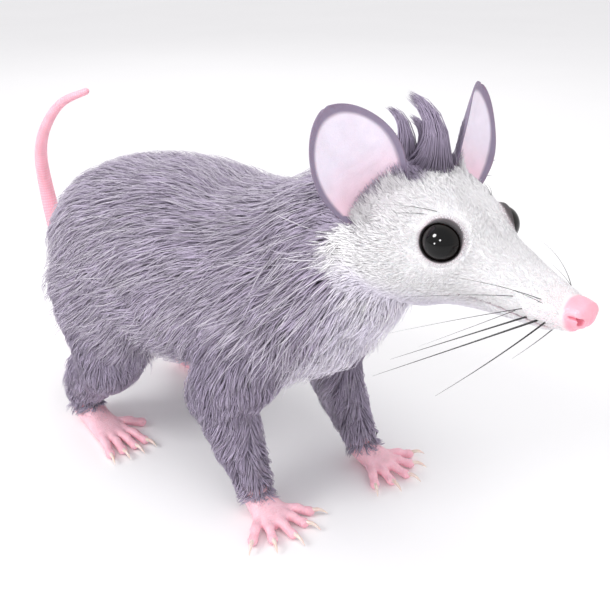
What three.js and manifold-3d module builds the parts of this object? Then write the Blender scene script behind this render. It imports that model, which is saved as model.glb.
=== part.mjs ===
// A Virginia opossum standing on its four feet, life size, as a museum shows it.
// Millimetres. +X points to the nose, +Y to the animal's left, +Z up, and the soles stand on Z = 0.
import * as THREE from "three";
import { mergeVertices } from "three/addons/utils/BufferGeometryUtils.js";
import Module from "manifold-3d";

const wasm = await Module();
wasm.setup();

// Driving sizes. Those of the trunk and neck are of the flesh and woolly underfur, without the locks.
const TRUNK_LENGTH = 228;
const TRUNK_WIDTH = 132;
const TRUNK_DEPTH = 116;
const RUMP_X = -140;
const TRUNK_HEIGHT = 130;
const HEAD_LENGTH = 138;
const HEAD_WIDTH = 80;
const HEAD_DEPTH = 67;
const HEAD_YAW = -0.15;
const HEAD_PITCH = 0.13;
const EAR_HEIGHT = 56;
const EAR_WIDTH = 49;
const EAR_THICKNESS = 1.8;
const EYE_RADIUS = 9.6;
const TAIL_THICKNESS = 25;
const FOREFOOT_LENGTH = 46;
const HINDFOOT_LENGTH = 64;
const TOE_RADIUS = 3.3;
const CLAW_LENGTH = 8;
const GAP = 0.32;

// Locks of the long coat: how deep their roots are sunk, how thick they are, and for each kind its length,
// its width and the height of its tips.
const LOCK_SUNK = 4;
const LOCK_THICKNESS = 2.6;
const TRUNK_LOCK = { length: 68, width: 34, lift: 8.5 };
const NECK_LOCK = { length: 47, width: 30, lift: 7.5 };
const CHEEK_LOCK = { length: 27, width: 15, lift: 5.5 };
const LEG_LOCK = { length: 29, width: 15, lift: 6 };
const CROWN_LOCK = { length: 36, width: 12, lift: 24 };
const TIP_STIFFNESS = 0.45;
const TIP_ROOM = 2;
// How far the edge of a lock may lie below or above its ridge, as a share of its distance from it.
const MOST_SAG = 0.4;
// How much locks of one kind differ: in their roots' share and angle, in size as shares, and in bend.
const VARIATION = { share: 0.015, angle: 0.06, length: 0.12, width: 0.1, lift: 0.16, bend: 0.3 };
const SEEDS = { trunk: 15, neck: 23, cheeks: 41, crown: 43, legs: 61 };
// How far above a hide a point is dropped from, so that a lock never lands on something further out.
const DROP_REACH = 25;
const AXIS_STEPS = 24;

const SKULL_BACK = new THREE.Vector3(120, -6, 201);

const COLOURS = {
  coat: [0x8f8797, 0.9],
  legs: [0x6f6878, 0.9],
  face: [0xf4f1f3, 0.9],
  skin: [0xf3aebb, 0.55],
  ear: [0x6b6372, 0.6],
  eye: [0x0d0c0d, 0.08],
};

const WORLD_UP = new THREE.Vector3(0, 0, 1);

const animal = new THREE.Group();

// A closed mesh as a solid that can be joined and cut.
function solidOf(geometry) {
  const bare = geometry.clone();
  bare.deleteAttribute("normal");
  bare.deleteAttribute("uv");
  const merged = mergeVertices(bare, 1e-4);
  return new wasm.Manifold(
    new wasm.Mesh({
      numProp: 3,
      vertProperties: new Float32Array(merged.attributes.position.array),
      triVerts: new Uint32Array(merged.index.array),
    }),
  );
}

// Joins solids, and keeps the largest closed surface of what comes out.
function joined(first, ...others) {
  return largest(others.reduce((sum, piece) => sum.add(piece), first));
}

function cut(solid, ...tools) {
  return largest(tools.reduce((left, tool) => left.subtract(tool), solid));
}

function largest(solid) {
  const pieces = solid.decompose();
  return pieces.reduce((best, piece) => (piece.volume() > best.volume() ? piece : best));
}

// The surface of a solid.
function geometryOf(solid) {
  const mesh = solid.getMesh();
  const geometry = new THREE.BufferGeometry();
  geometry.setAttribute("position", new THREE.BufferAttribute(mesh.vertProperties, 3));
  geometry.setIndex(new THREE.BufferAttribute(mesh.triVerts, 1));
  return geometry;
}

function addNode(name, solid, look) {
  const geometry = geometryOf(solid);
  geometry.computeVertexNormals();
  const [color, roughness] = COLOURS[look];
  const node = new THREE.Mesh(geometry, new THREE.MeshStandardMaterial({ color, roughness }));
  node.name = name;
  animal.add(node);
}

// A limb or trunk as oval rings along a smooth curve. Each key holds its centre, its half width, and its half
// depth on the side that upward points to and on the other side. Its ends are domes of the given lengths.
class Limb {
  constructor(keys, { rings, sides, upward = WORLD_UP, domes = [6, 6], domeSteps = 2, square = 2 }) {
    Object.assign(this, { rings, sides, upward, domes, domeSteps, square });
    this.path = new THREE.CatmullRomCurve3(keys.map((key) => key.at));
    this.sizes = new THREE.CatmullRomCurve3(
      keys.map((key) => new THREE.Vector3(key.width, key.up, key.down)),
    );
  }

  // The centre, directions and half sizes of the ring at a share of the length.
  ring(share) {
    const centre = this.path.getPoint(share);
    const ahead = this.path.getTangent(share);
    const side = this.upward.clone().cross(ahead).normalize();
    const up = ahead.clone().cross(side).normalize();
    const [width, rise, drop] = this.sizes.getPoint(share).toArray();
    return { centre, ahead, side, up, width, rise, drop };
  }

  // A point of the skin at an angle round the ring, from the side towards upward, at some height above it.
  point(ring, angle, height = 0, shrink = 1, along = 0) {
    const bend = (value) => Math.sign(value) * Math.abs(value) ** (2 / this.square);
    const tall = Math.sin(angle) > 0 ? ring.rise : ring.drop;
    return ring.centre
      .clone()
      .addScaledVector(ring.side, bend(Math.cos(angle)) * (ring.width + height) * shrink)
      .addScaledVector(ring.up, bend(Math.sin(angle)) * (tall + height) * shrink)
      .addScaledVector(ring.ahead, along);
  }

  geometry(grow = 0) {
    const loops = [];
    const addLoop = (ring, shrink, along) => {
      loops.push(
        Array.from({ length: this.sides }, (_, k) =>
          this.point(ring, (2 * Math.PI * k) / this.sides, grow, shrink, along),
        ),
      );
    };
    const first = this.ring(0);
    const last = this.ring(1);
    const [startDome, endDome] = this.domes.map((dome) => dome + grow);
    const domeAngles = Array.from(
      { length: this.domeSteps },
      (_, k) => ((this.domeSteps - k) * Math.PI) / (2 * this.domeSteps + 2),
    );
    domeAngles.forEach((a) => addLoop(first, Math.cos(a), -startDome * Math.sin(a)));
    for (let i = 0; i <= this.rings; i += 1) addLoop(this.ring(i / this.rings), 1, 0);
    domeAngles.reverse().forEach((a) => addLoop(last, Math.cos(a), endDome * Math.sin(a)));
    const tips = [
      first.centre.clone().addScaledVector(first.ahead, -startDome),
      last.centre.clone().addScaledVector(last.ahead, endDome),
    ];
    return closedTube(loops, tips);
  }

  solid(grow = 0) {
    return solidOf(this.geometry(grow));
  }
}

// Closes a stack of loops of equal length with a tip point before the first and after the last. Its faces are
// split along one diagonal, and those of the strips listed in turned along the other.
function closedTube(loops, [startTip, endTip], turned = []) {
  const sides = loops[0].length;
  const points = [...loops.flat(), startTip, endTip];
  const start = points.length - 2;
  const end = points.length - 1;
  const faces = [];
  for (let k = 0; k < sides; k += 1) {
    const next = (k + 1) % sides;
    for (let i = 0; i + 1 < loops.length; i += 1) {
      const [a, b] = [i * sides + k, i * sides + next];
      const [c, d] = [b + sides, a + sides];
      faces.push(...(turned.includes(k) ? [a, b, d, b, c, d] : [a, b, c, a, c, d]));
    }
    const lastLoop = (loops.length - 1) * sides;
    faces.push(start, next, k, end, lastLoop + k, lastLoop + next);
  }
  const geometry = new THREE.BufferGeometry().setFromPoints(points);
  geometry.setIndex(faces);
  return geometry;
}

const mirrored = (side, x, y, z) => new THREE.Vector3(x, side * y, z);

// The trunk, from rump to chest: share of the length, rise of its axis, then shares of the half sizes.
const trunk = new Limb(
  [
    [0.0, -18, 0.47, 0.57, 0.55],
    [0.14, -11, 0.81, 0.9, 0.87],
    [0.32, -4, 1.0, 1.03, 0.98],
    [0.52, 0, 1.0, 1.02, 1.02],
    [0.72, 3, 0.91, 0.94, 0.97],
    [0.88, 9, 0.79, 0.85, 0.91],
    [1.0, 17, 0.62, 0.69, 0.75],
  ].map(([share, rise, width, up, down]) => ({
    at: new THREE.Vector3(RUMP_X + share * TRUNK_LENGTH, 0, TRUNK_HEIGHT + rise),
    width: (width * TRUNK_WIDTH) / 2,
    up: (up * TRUNK_DEPTH) / 2,
    down: (down * TRUNK_DEPTH) / 2,
  })),
  { rings: 12, sides: 20, domes: [20, 18], square: 2.15 },
);

// The neck, from inside the chest to inside the skull.
const neck = new Limb(
  [
    [60, 0, 142, 50, 46, 50],
    [88, -2, 161, 47, 41, 48],
    [112, -5, 181, 41, 35, 43],
    [136, -8, 197, 34, 29, 35],
  ].map(([x, y, z, width, up, down]) => ({ at: new THREE.Vector3(x, y, z), width, up, down })),
  { rings: 6, sides: 16, domes: [4, 4] },
);

// Everything on the head is placed in its own frame: x from the back of the skull to the nose, y left, z up.
const headFrame = new THREE.Matrix4()
  .makeRotationFromEuler(new THREE.Euler(0, HEAD_PITCH, HEAD_YAW, "ZYX"))
  .setPosition(SKULL_BACK);
const onHead = (x, y, z) => new THREE.Vector3(x, y, z).applyMatrix4(headFrame);
const headUp = new THREE.Vector3(0, 0, 1).transformDirection(headFrame);

// Head sections: share of the length, rise of the axis, then shares of the half sizes.
const HEAD_SECTIONS = [
  [0.03, 0, 0.62, 0.66, 0.7],
  [0.14, 0, 0.9, 0.93, 0.93],
  [0.27, 0, 1.0, 1.0, 1.0],
  [0.4, 0, 0.93, 0.9, 0.93],
  [0.52, 0.5, 0.7, 0.73, 0.66],
  [0.64, 0.5, 0.5, 0.47, 0.36],
  [0.78, 0, 0.38, 0.33, 0.28],
  [0.9, -0.5, 0.31, 0.25, 0.24],
  [0.965, -0.5, 0.24, 0.21, 0.19],
];
const head = new Limb(
  HEAD_SECTIONS.map(([share, rise, width, up, down]) => ({
    at: onHead(share * HEAD_LENGTH, 0, rise),
    width: (width * HEAD_WIDTH) / 2,
    up: (up * HEAD_DEPTH) / 2,
    down: (down * HEAD_DEPTH) / 2,
  })),
  { rings: 15, sides: 20, domes: [7, 3], upward: headUp },
);

const jaw = new Limb(
  [
    [44, -19.5, 17, 8.5, 9.5],
    [65, -16, 15, 7.5, 8.5],
    [87, -12, 11.5, 6.2, 6.8],
    [109, -9.4, 9.2, 5, 5.2],
    [121, -8.4, 7, 4, 4],
  ].map(([x, z, width, up, down]) => ({ at: onHead(x, 0, z), width, up, down })),
  { rings: 7, sides: 12, domes: [4, 4], upward: headUp },
);

const nose = new Limb(
  [
    [128, 1.0, 6.0, 5.0, 4.8],
    [132, 1.2, 8.3, 6.7, 6.1],
    [136, 1.2, 8.0, 6.5, 5.7],
  ].map(([x, z, width, up, down]) => ({ at: onHead(x, 0, z), width, up, down })),
  { rings: 3, sides: 12, domes: [1, 3.5], upward: headUp },
);

// The soles are cut flat at the floor.
const floor = solidOf(new THREE.BoxGeometry(900, 400, 60).translate(0, 0, -30));

// A leg runs down from inside the trunk; its depth is measured fore and aft.
function leg(keys) {
  return new Limb(keys, { rings: 8, sides: 12, upward: new THREE.Vector3(1, 0, 0), domes: [6, 3] });
}

function foreleg(side, forward) {
  return leg(
    [
      [66, 31, 128, 24, 30, 30],
      [57, 39, 98, 22, 26, 28],
      [50, 44, 74, 18, 20, 22],
      [56, 44, 50, 13.5, 14.5, 16],
      [68, 43, 27, 10.5, 11, 12.5],
      [73, 43, 19, 9.6, 10, 11],
    ].map(([x, y, z, width, up, down]) => ({
      at: mirrored(side, x + forward * (1 - z / 140), y, z),
      width,
      up,
      down,
    })),
  );
}

function hindleg(side, forward) {
  return leg(
    [
      [-88, 35, 112, 29, 40, 36],
      [-70, 46, 88, 26, 34, 35],
      [-68, 51, 66, 20, 25, 27],
      [-84, 52, 46, 14.5, 17, 18],
      [-100, 52, 29, 11.5, 12.5, 12],
      [-105, 52, 20, 10.3, 11.2, 10.4],
    ].map(([x, y, z, width, up, down]) => ({
      at: mirrored(side, x + forward * (1 - z / 140), y, z),
      width,
      up,
      down,
    })),
  );
}

// A toe with its claw, from inside the palm outward. A thumb has no claw.
function toe(root, heading, length, radius, clawed) {
  const along = (share, z) =>
    root
      .clone()
      .add(new THREE.Vector3(Math.cos(heading), Math.sin(heading), 0).multiplyScalar(share * length))
      .setZ(z);
  const finger = new Limb(
    [
      { at: along(0, radius * 1.5), width: radius * 1.05, up: radius, down: radius },
      { at: along(0.5, radius * 1.6), width: radius * 0.95, up: radius * 0.9, down: radius },
      { at: along(0.88, radius * 0.87), width: radius, up: radius * 0.9, down: radius },
    ],
    { rings: 2, sides: 6, domes: [1, radius * 1.1], domeSteps: 1 },
  );
  if (!clawed) return [finger.solid()];
  const reach = CLAW_LENGTH / length;
  const claw = new Limb(
    [
      { at: along(0.96, radius * 1.15), width: 1.5, up: 1.6, down: 1.6 },
      { at: along(1.04 + reach * 0.45, radius * 1.15), width: 1.1, up: 1.2, down: 1.2 },
      { at: along(1.04 + reach, radius * 0.6), width: 0.5, up: 0.5, down: 0.5 },
    ],
    { rings: 1, sides: 4, domes: [0.5, 0.8], domeSteps: 0 },
  );
  return [finger.solid(), claw.solid()];
}

// A forefoot: a short palm with five toes spread like a star.
function forefoot(side, ankle) {
  const palmLength = FOREFOOT_LENGTH * 0.5;
  const toward = 0.12 * side;
  const dir = new THREE.Vector3(Math.cos(toward), Math.sin(toward), 0);
  const at = (share, z) => ankle.clone().addScaledVector(dir, share * palmLength).setZ(z);
  const palm = new Limb(
    [
      { at: at(-0.1, 13), width: 8.6, up: 9, down: 9 },
      { at: at(0.25, 9), width: 9.6, up: 7.5, down: 9 },
      { at: at(0.6, 6), width: 11.5, up: 5.5, down: 7.6 },
      { at: at(0.95, 4.5), width: 11, up: 4, down: 5.6 },
    ],
    { rings: 4, sides: 8, domes: [3, 3], domeSteps: 1 },
  );
  const toes = [-2, -1, 0, 1, 2].flatMap((k) => {
    const heading = toward + k * 0.42;
    const root = at(0.68 - 0.05 * Math.abs(k), 4).add(
      new THREE.Vector3(-Math.sin(toward), Math.cos(toward), 0).multiplyScalar(k * 4.4),
    );
    return toe(root, heading, FOREFOOT_LENGTH * (0.47 - 0.025 * Math.abs(k)), TOE_RADIUS, true);
  });
  return joined(cut(palm.solid(), floor), ...toes);
}

// A hindfoot: a long flat sole, four clawed toes, and a thumb without a claw that points inward.
function hindfoot(side, ankle) {
  const soleLength = HINDFOOT_LENGTH * 0.62;
  const toward = 0.1 * side;
  const dir = new THREE.Vector3(Math.cos(toward), Math.sin(toward), 0);
  const across = new THREE.Vector3(-Math.sin(toward), Math.cos(toward), 0);
  const at = (share, z) => ankle.clone().addScaledVector(dir, share * soleLength).setZ(z);
  const sole = new Limb(
    [
      { at: at(-0.12, 9), width: 8, up: 8.5, down: 9 },
      { at: at(0.15, 9), width: 9, up: 10.5, down: 10.5 },
      { at: at(0.5, 6.5), width: 10.5, up: 7, down: 8 },
      { at: at(0.85, 5), width: 12, up: 5, down: 6.2 },
      { at: at(1.0, 4.5), width: 11, up: 4, down: 4.8 },
    ],
    { rings: 5, sides: 8, domes: [5, 3], domeSteps: 1 },
  );
  const toes = [-1.5, -0.5, 0.5, 1.5].flatMap((k) =>
    toe(
      at(0.92, 4).addScaledVector(across, k * 5.6),
      toward + k * 0.17,
      HINDFOOT_LENGTH * (0.36 - 0.01 * Math.abs(k)),
      TOE_RADIUS,
      true,
    ),
  );
  const thumbRoot = at(0.62, 4).addScaledVector(across, -side * 7);
  const thumb = toe(thumbRoot, toward - side * 1.05, HINDFOOT_LENGTH * 0.34, TOE_RADIUS * 1.1, false);
  return joined(cut(sole.solid(), floor), ...toes, ...thumb);
}

// An ear: a thin cupped leaf that stands on the skull, opening forward and outward.
function ear(side) {
  const [rows, columns] = [7, 8];
  const widest = 0.56;
  const base = onHead(31, side * 29, 19);
  const rise = new THREE.Vector3(-0.2, side * 0.45, 0.87).transformDirection(headFrame);
  const facing = new THREE.Vector3(0.97, side * 0.24, 0).transformDirection(headFrame);
  const across = rise.clone().cross(facing).normalize();
  const outward = across.clone().cross(rise).normalize();
  const halfWidth = (v) => {
    if (v < widest) return (EAR_WIDTH / 2) * (0.52 + 0.48 * Math.sin((Math.PI / 2) * (v / widest)));
    return (EAR_WIDTH / 2) * Math.sqrt(1 - 0.985 * ((v - widest) / (1 - widest)) ** 2);
  };
  const leaf = (offset) => (i, j) => {
    const v = Math.sin(((i / rows) * Math.PI) / 2);
    const u = (2 * j) / columns - 1;
    const roll = u * (1.2 - 0.45 * v);
    const curl = halfWidth(v) / 0.92;
    return base
      .clone()
      .addScaledVector(rise, EAR_HEIGHT * (v - 0.12))
      .addScaledVector(across, Math.sin(roll) * curl)
      .addScaledVector(outward, (1 - Math.cos(roll)) * curl * 0.62 - 3 * v * v + offset);
  };
  const [front, back] = [leaf(EAR_THICKNESS / 2), leaf(-EAR_THICKNESS / 2)];
  const points = [];
  for (const face of [front, back]) {
    for (let i = 0; i <= rows; i += 1) for (let j = 0; j <= columns; j += 1) points.push(face(i, j));
  }
  const index = (layer, i, j) => layer * (rows + 1) * (columns + 1) + i * (columns + 1) + j;
  const faces = [];
  const quad = (a, b, c, d) => faces.push(a, b, c, a, c, d);
  for (let i = 0; i < rows; i += 1) {
    for (let j = 0; j < columns; j += 1) {
      quad(index(0, i, j), index(0, i, j + 1), index(0, i + 1, j + 1), index(0, i + 1, j));
      quad(index(1, i, j), index(1, i + 1, j), index(1, i + 1, j + 1), index(1, i, j + 1));
    }
    quad(index(0, i, 0), index(0, i + 1, 0), index(1, i + 1, 0), index(1, i, 0));
    quad(index(0, i, columns), index(1, i, columns), index(1, i + 1, columns), index(0, i + 1, columns));
  }
  for (let j = 0; j < columns; j += 1) {
    quad(index(0, 0, j), index(1, 0, j), index(1, 0, j + 1), index(0, 0, j + 1));
    quad(index(0, rows, j), index(0, rows, j + 1), index(1, rows, j + 1), index(1, rows, j));
  }
  const geometry = new THREE.BufferGeometry().setFromPoints(points);
  geometry.setIndex(faces);
  const solid = solidOf(geometry);
  return solid.volume() < 0 ? solidOf(flipped(geometry)) : solid;
}

function flipped(geometry) {
  const index = Array.from(geometry.index.array);
  for (let i = 0; i < index.length; i += 3) [index[i + 1], index[i + 2]] = [index[i + 2], index[i + 1]];
  const turned = geometry.clone();
  turned.setIndex(index);
  return turned;
}

const eyeCentre = (side) => onHead(70, side * 18.9, 11.5);
function eyeball(side, grow = 0) {
  return solidOf(
    new THREE.SphereGeometry(EYE_RADIUS + grow, 12, 8).translate(...eyeCentre(side).toArray()),
  );
}

// The rim of the lids, a ring that stands round the eye and faces the way the eye looks.
function lids(side) {
  const looks = new THREE.Vector3(0.42, side * 0.86, 0.3).transformDirection(headFrame);
  const turn = new THREE.Quaternion().setFromUnitVectors(new THREE.Vector3(0, 0, 1), looks);
  const ring = new THREE.TorusGeometry(EYE_RADIUS * 0.98, 1.3, 5, 12).applyQuaternion(turn);
  return solidOf(ring.translate(...eyeCentre(side).addScaledVector(looks, EYE_RADIUS * 0.26).toArray()));
}

function nostril(side) {
  const hole = new THREE.SphereGeometry(1, 6, 5).scale(4.2, 1.7, 1.9);
  hole.rotateZ(side * 0.5).translate(137.5, side * 5, 0.6).applyMatrix4(headFrame);
  return solidOf(hole);
}

// The naked tail hangs from the rump, sweeps back and rises to its tip in a long S.
const TAIL_POINTS = [
  [-148, 0, 116],
  [-170, 4, 99],
  [-197, 14, 78],
  [-226, 24, 72],
  [-250, 30, 90],
  [-259, 30, 123],
  [-251, 24, 156],
  [-230, 19, 183],
  [-207, 22, 205],
  [-184, 32, 216],
];
const tailKeys = TAIL_POINTS.map(([x, y, z], i) => {
  const share = i / (TAIL_POINTS.length - 1);
  const radius = (TAIL_THICKNESS / 2) * (1 - 0.78 * share ** 0.8);
  return { at: new THREE.Vector3(x, y, z), width: radius, up: radius, down: radius };
});
const tail = new Limb(tailKeys, { rings: 20, sides: 9, upward: new THREE.Vector3(0, 1, 0), domes: [4, 3] });

// The side of the box that holds a length of the tail before a cut.
const TAIL_BOX = 90;
// The tail's lengths, each named with the share of the tail at which it ends.
const TAIL_CUTS = [
  ["tail_base", 0.2],
  ["tail_low", 0.4],
  ["tail_bend", 0.58],
  ["tail_rise", 0.78],
];

// A box that holds what comes before a share of a limb, near it, and a little more if asked.
function before(limb, share, more = 0) {
  const { centre, ahead } = limb.ring(share);
  const turn = new THREE.Quaternion().setFromUnitVectors(new THREE.Vector3(0, 0, 1), ahead);
  const box = new THREE.BoxGeometry(TAIL_BOX, TAIL_BOX, TAIL_BOX).translate(0, 0, more - TAIL_BOX / 2);
  return solidOf(box.applyQuaternion(turn).translate(...centre.toArray()));
}

// A repeatable run of random numbers between -1 and 1.
function randomRun(seed) {
  let state = seed;
  return () => {
    state = (state * 16807) % 2147483647;
    return (2 * state) / 2147483647 - 1;
  };
}

// What locks grow on and lie over. A point is dropped towards the limb's axis onto the outermost surface.
class Hide {
  constructor(limb, own, others = []) {
    this.axis = limb.path.getPoints(AXIS_STEPS);
    this.own = new THREE.Mesh(own);
    this.surfaces = [this.own, ...others.map((geometry) => new THREE.Mesh(geometry))];
  }

  // The direction away from the nearest point of the axis.
  out(point) {
    const offsets = this.axis.slice(1).map((end, i) => {
      const stretch = new THREE.Line3(this.axis[i], end);
      return point.clone().sub(stretch.closestPointToPoint(point, true, new THREE.Vector3()));
    });
    return offsets.reduce((best, offset) => (offset.length() < best.length() ? offset : best)).normalize();
  }

  drop(point, height) {
    const out = this.out(point);
    const from = point.clone().addScaledVector(out, DROP_REACH);
    const [hit] = new THREE.Raycaster(from, out.clone().negate()).intersectObjects(this.surfaces);
    if (!hit) return { at: point.clone(), owned: false };
    return { at: hit.point.addScaledVector(out, height), owned: hit.object === this.own };
  }
}

// Along a lock: the share of its length, its height as a share of its lift, and its breadth.
const LOCK_RINGS = [
  { share: 0, height: 0, broad: 0.6 },
  { share: 0.3, height: 0.42, broad: 1 },
  { share: 0.67, height: 0.78, broad: 0.76 },
];

// A flat, tapered lock, bent to lie over a hide from its sunk root, and the space that its neighbours leave
// clear. Each ring has a left edge, a ridge, a right edge and an underside. The tip is partly stiff: it lies
// between where the hide would lead it and straight on.
function lock(hide, root, lie, { length, width, lift, bend }) {
  let { at, owned } = hide.drop(root, 0);
  if (!owned) return null;
  let ahead = new THREE.Vector3();
  let travelled = 0;
  const onward = (from, share) => from.clone().addScaledVector(ahead, (share - travelled) * length);
  const rings = LOCK_RINGS.map(({ share, height, broad }) => {
    at = hide.drop(onward(at, share), 0).at;
    travelled = share;
    const out = hide.out(at);
    ahead = lie(out).projectOnPlane(out).normalize().applyAxisAngle(out, bend * share);
    const side = ahead.clone().cross(out);
    const above = share === 0 ? -LOCK_SUNK : height * lift;
    const placed = (sideways, outward) =>
      at.clone().addScaledVector(side, sideways).addScaledVector(out, outward);
    const edge = (reach) => {
      const sag = hide.drop(placed(reach, 0), 0).at.sub(at).dot(out);
      const most = MOST_SAG * Math.abs(reach);
      return placed(reach, above + THREE.MathUtils.clamp(sag, -most, most));
    };
    const [left, right] = [edge((-width * broad) / 2), edge((width * broad) / 2)];
    const [ridge, under] = [placed(0, above + LOCK_THICKNESS / 2), placed(0, above - LOCK_THICKNESS / 2)];
    return { left, ridge, right, under, ahead, side, out, behind: share === 0 ? -GAP : 0 };
  });
  const { left, right } = rings.at(-1);
  const straight = onward(left.clone().lerp(right, 0.5), 1);
  const tip = hide.drop(onward(at, 1), lift).at.lerp(straight, TIP_STIFFNESS);
  return { hair: hairSolid(rings, tip), clear: hairSpace(rings, tip) };
}

const middle = ({ ridge, under }) => ridge.clone().lerp(under, 0.5);

// The lock itself, with each face split alike above and below.
function hairSolid(rings, tip) {
  const loops = rings.map(({ left, ridge, right, under }) => [left, ridge, right, under]);
  return solidOf(closedTube(loops, [middle(rings[0]), tip], [1, 3]));
}

// The space round a lock, one gap larger on every side.
function hairSpace(rings, tip) {
  const loops = rings.map(({ left, ridge, right, under, ahead, side, out, behind }) => {
    const moved = (point, sideways, outward) =>
      point
        .clone()
        .addScaledVector(side, sideways * GAP)
        .addScaledVector(out, outward * GAP)
        .addScaledVector(ahead, behind);
    return [
      moved(left, -1, 1),
      moved(ridge, 0, 1),
      moved(right, 1, 1),
      moved(right, 1, -1),
      moved(under, 0, -1),
      moved(left, -1, -1),
    ];
  });
  const start = middle(rings[0]).addScaledVector(rings[0].ahead, -2 * GAP);
  const end = tip.clone().sub(middle(rings.at(-1))).setLength(TIP_ROOM).add(tip);
  return solidOf(closedTube(loops, [start, end], [1, 4]));
}

// Rows of locks round a limb. Each row is a share of the length and the angles of its locks.
function rowsOfLocks(hide, limb, lie, size, rows, seed) {
  const vary = randomRun(seed);
  const locks = rows.flatMap(([share, angles]) =>
    angles.map((angle) => {
      const ring = limb.ring(share + VARIATION.share * vary());
      const root = limb.point(ring, angle + VARIATION.angle * vary());
      return lock(hide, root, lie, {
        length: size.length * (1 + VARIATION.length * vary()),
        width: size.width * (1 + VARIATION.width * vary()),
        lift: size.lift * (1 + VARIATION.lift * vary()),
        bend: VARIATION.bend * vary(),
      });
    }),
  );
  return locks.filter((one) => one !== null);
}

const hairs = (locks) => locks.map((one) => one.hair);
const clears = (locks) => locks.map((one) => one.clear);

// Angles spread evenly round a ring, each second row half a step on.
function spread(count, row) {
  return Array.from({ length: count }, (_, k) => (2 * Math.PI * (k + 0.5 * (row % 2))) / count);
}

function trunkLocks(hide) {
  const rows = Array.from({ length: 7 }, (_, row) => [0.93 - 0.145 * row, spread(10, row)]);
  const lie = (out) => new THREE.Vector3(-1, 0, -0.3 - 0.5 * Math.abs(out.y));
  return rowsOfLocks(hide, trunk, lie, TRUNK_LOCK, rows, SEEDS.trunk);
}

function neckLocks(hide) {
  const rows = [0.84, 0.54].map((share, row) => [share, spread(8, row)]);
  const lie = (out) => new THREE.Vector3(-0.76, 0.08, -0.5 - 0.35 * Math.abs(out.y));
  return rowsOfLocks(hide, neck, lie, NECK_LOCK, rows, SEEDS.neck);
}

// The white ruff behind each cheek, and the tuft that stands between the ears.
function headLocks(hide) {
  const cheeks = [1, -1].flatMap((side) => {
    const angles = [0.35, -0.15, -0.65, -1.15].map((angle) => (side > 0 ? angle : Math.PI - angle));
    const lie = () => new THREE.Vector3(-1, side * 0.3, -0.5).transformDirection(headFrame);
    return rowsOfLocks(hide, head, lie, CHEEK_LOCK, [[0.2, angles]], SEEDS.cheeks);
  });
  const crown = [
    [0.2, [1.4]],
    [0.32, [1.8]],
  ];
  const upswept = () => new THREE.Vector3(-1, 0.15, 0).transformDirection(headFrame);
  return [...cheeks, ...rowsOfLocks(hide, head, upswept, CROWN_LOCK, crown, SEEDS.crown)];
}

// The fringe down the back of a leg.
function legLocks(hide, limb, seed) {
  const rear = -Math.PI / 2;
  const fringe = [
    [0.45, [rear - 0.7, rear + 0.7]],
    [0.57, [rear]],
    [0.69, [rear]],
  ];
  const lie = () => new THREE.Vector3(-0.3, 0, -1);
  return rowsOfLocks(hide, limb, lie, LEG_LOCK, fringe, seed);
}

const SIDES = [
  { side: 1, word: "left", foreStep: 10, hindStep: -8 },
  { side: -1, word: "right", foreStep: -4, hindStep: 8 },
];
const LEGS = SIDES.flatMap(({ side, word, foreStep, hindStep }) => [
  { side, end: "fore", word, limb: foreleg(side, foreStep), makeFoot: forefoot },
  { side, end: "hind", word, limb: hindleg(side, hindStep), makeFoot: hindfoot },
]);

function addBody(coat, mane) {
  addNode("torso", cut(joined(trunk.solid(), ...hairs(coat)), ...clears(mane)), "coat");
}

function addNeck(mane, trunkClear, headClear) {
  const core = cut(neck.solid(), ...trunkClear);
  addNode("neck", cut(joined(core, ...hairs(mane)), ...headClear), "coat");
}

function addHead(ruff, mane, headClear) {
  const noseClear = nose.solid(GAP);
  const flesh = joined(head.solid(), lids(1), lids(-1), ...hairs(ruff));
  addNode("head", cut(flesh, eyeball(1, GAP), eyeball(-1, GAP), noseClear), "face");
  addNode("lower_jaw", cut(jaw.solid(), ...headClear, noseClear), "face");
  addNode("nose", cut(nose.solid(), nostril(1), nostril(-1)), "skin");
  for (const { side, word } of SIDES) {
    addNode(`eye_${word}`, eyeball(side), "eye");
    addNode(`ear_${word}`, cut(ear(side), ...headClear, neck.solid(GAP), ...clears(mane)), "ear");
  }
}

function addLeg({ side, end, word, limb, makeFoot }, index, bodyClear) {
  const paw = makeFoot(side, limb.ring(1).centre);
  const hide = new Hide(limb, limb.geometry(), [geometryOf(paw)]);
  const fur = legLocks(hide, limb, SEEDS.legs + index);
  const core = cut(limb.solid(), trunk.solid(GAP), neck.solid(GAP));
  addNode(`${end}leg_${word}`, cut(joined(core, ...hairs(fur)), ...bodyClear), "legs");
  addNode(`${end}foot_${word}`, cut(paw, limb.solid(GAP), ...clears(fur)), "skin");
}

function addTail(trunkClear) {
  let rest = cut(tail.solid(), ...trunkClear);
  for (const [name, share] of TAIL_CUTS) {
    addNode(name, largest(rest.intersect(before(tail, share))), "skin");
    rest = largest(rest.subtract(before(tail, share, GAP)));
  }
  addNode("tail_tip", rest, "skin");
}

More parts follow.
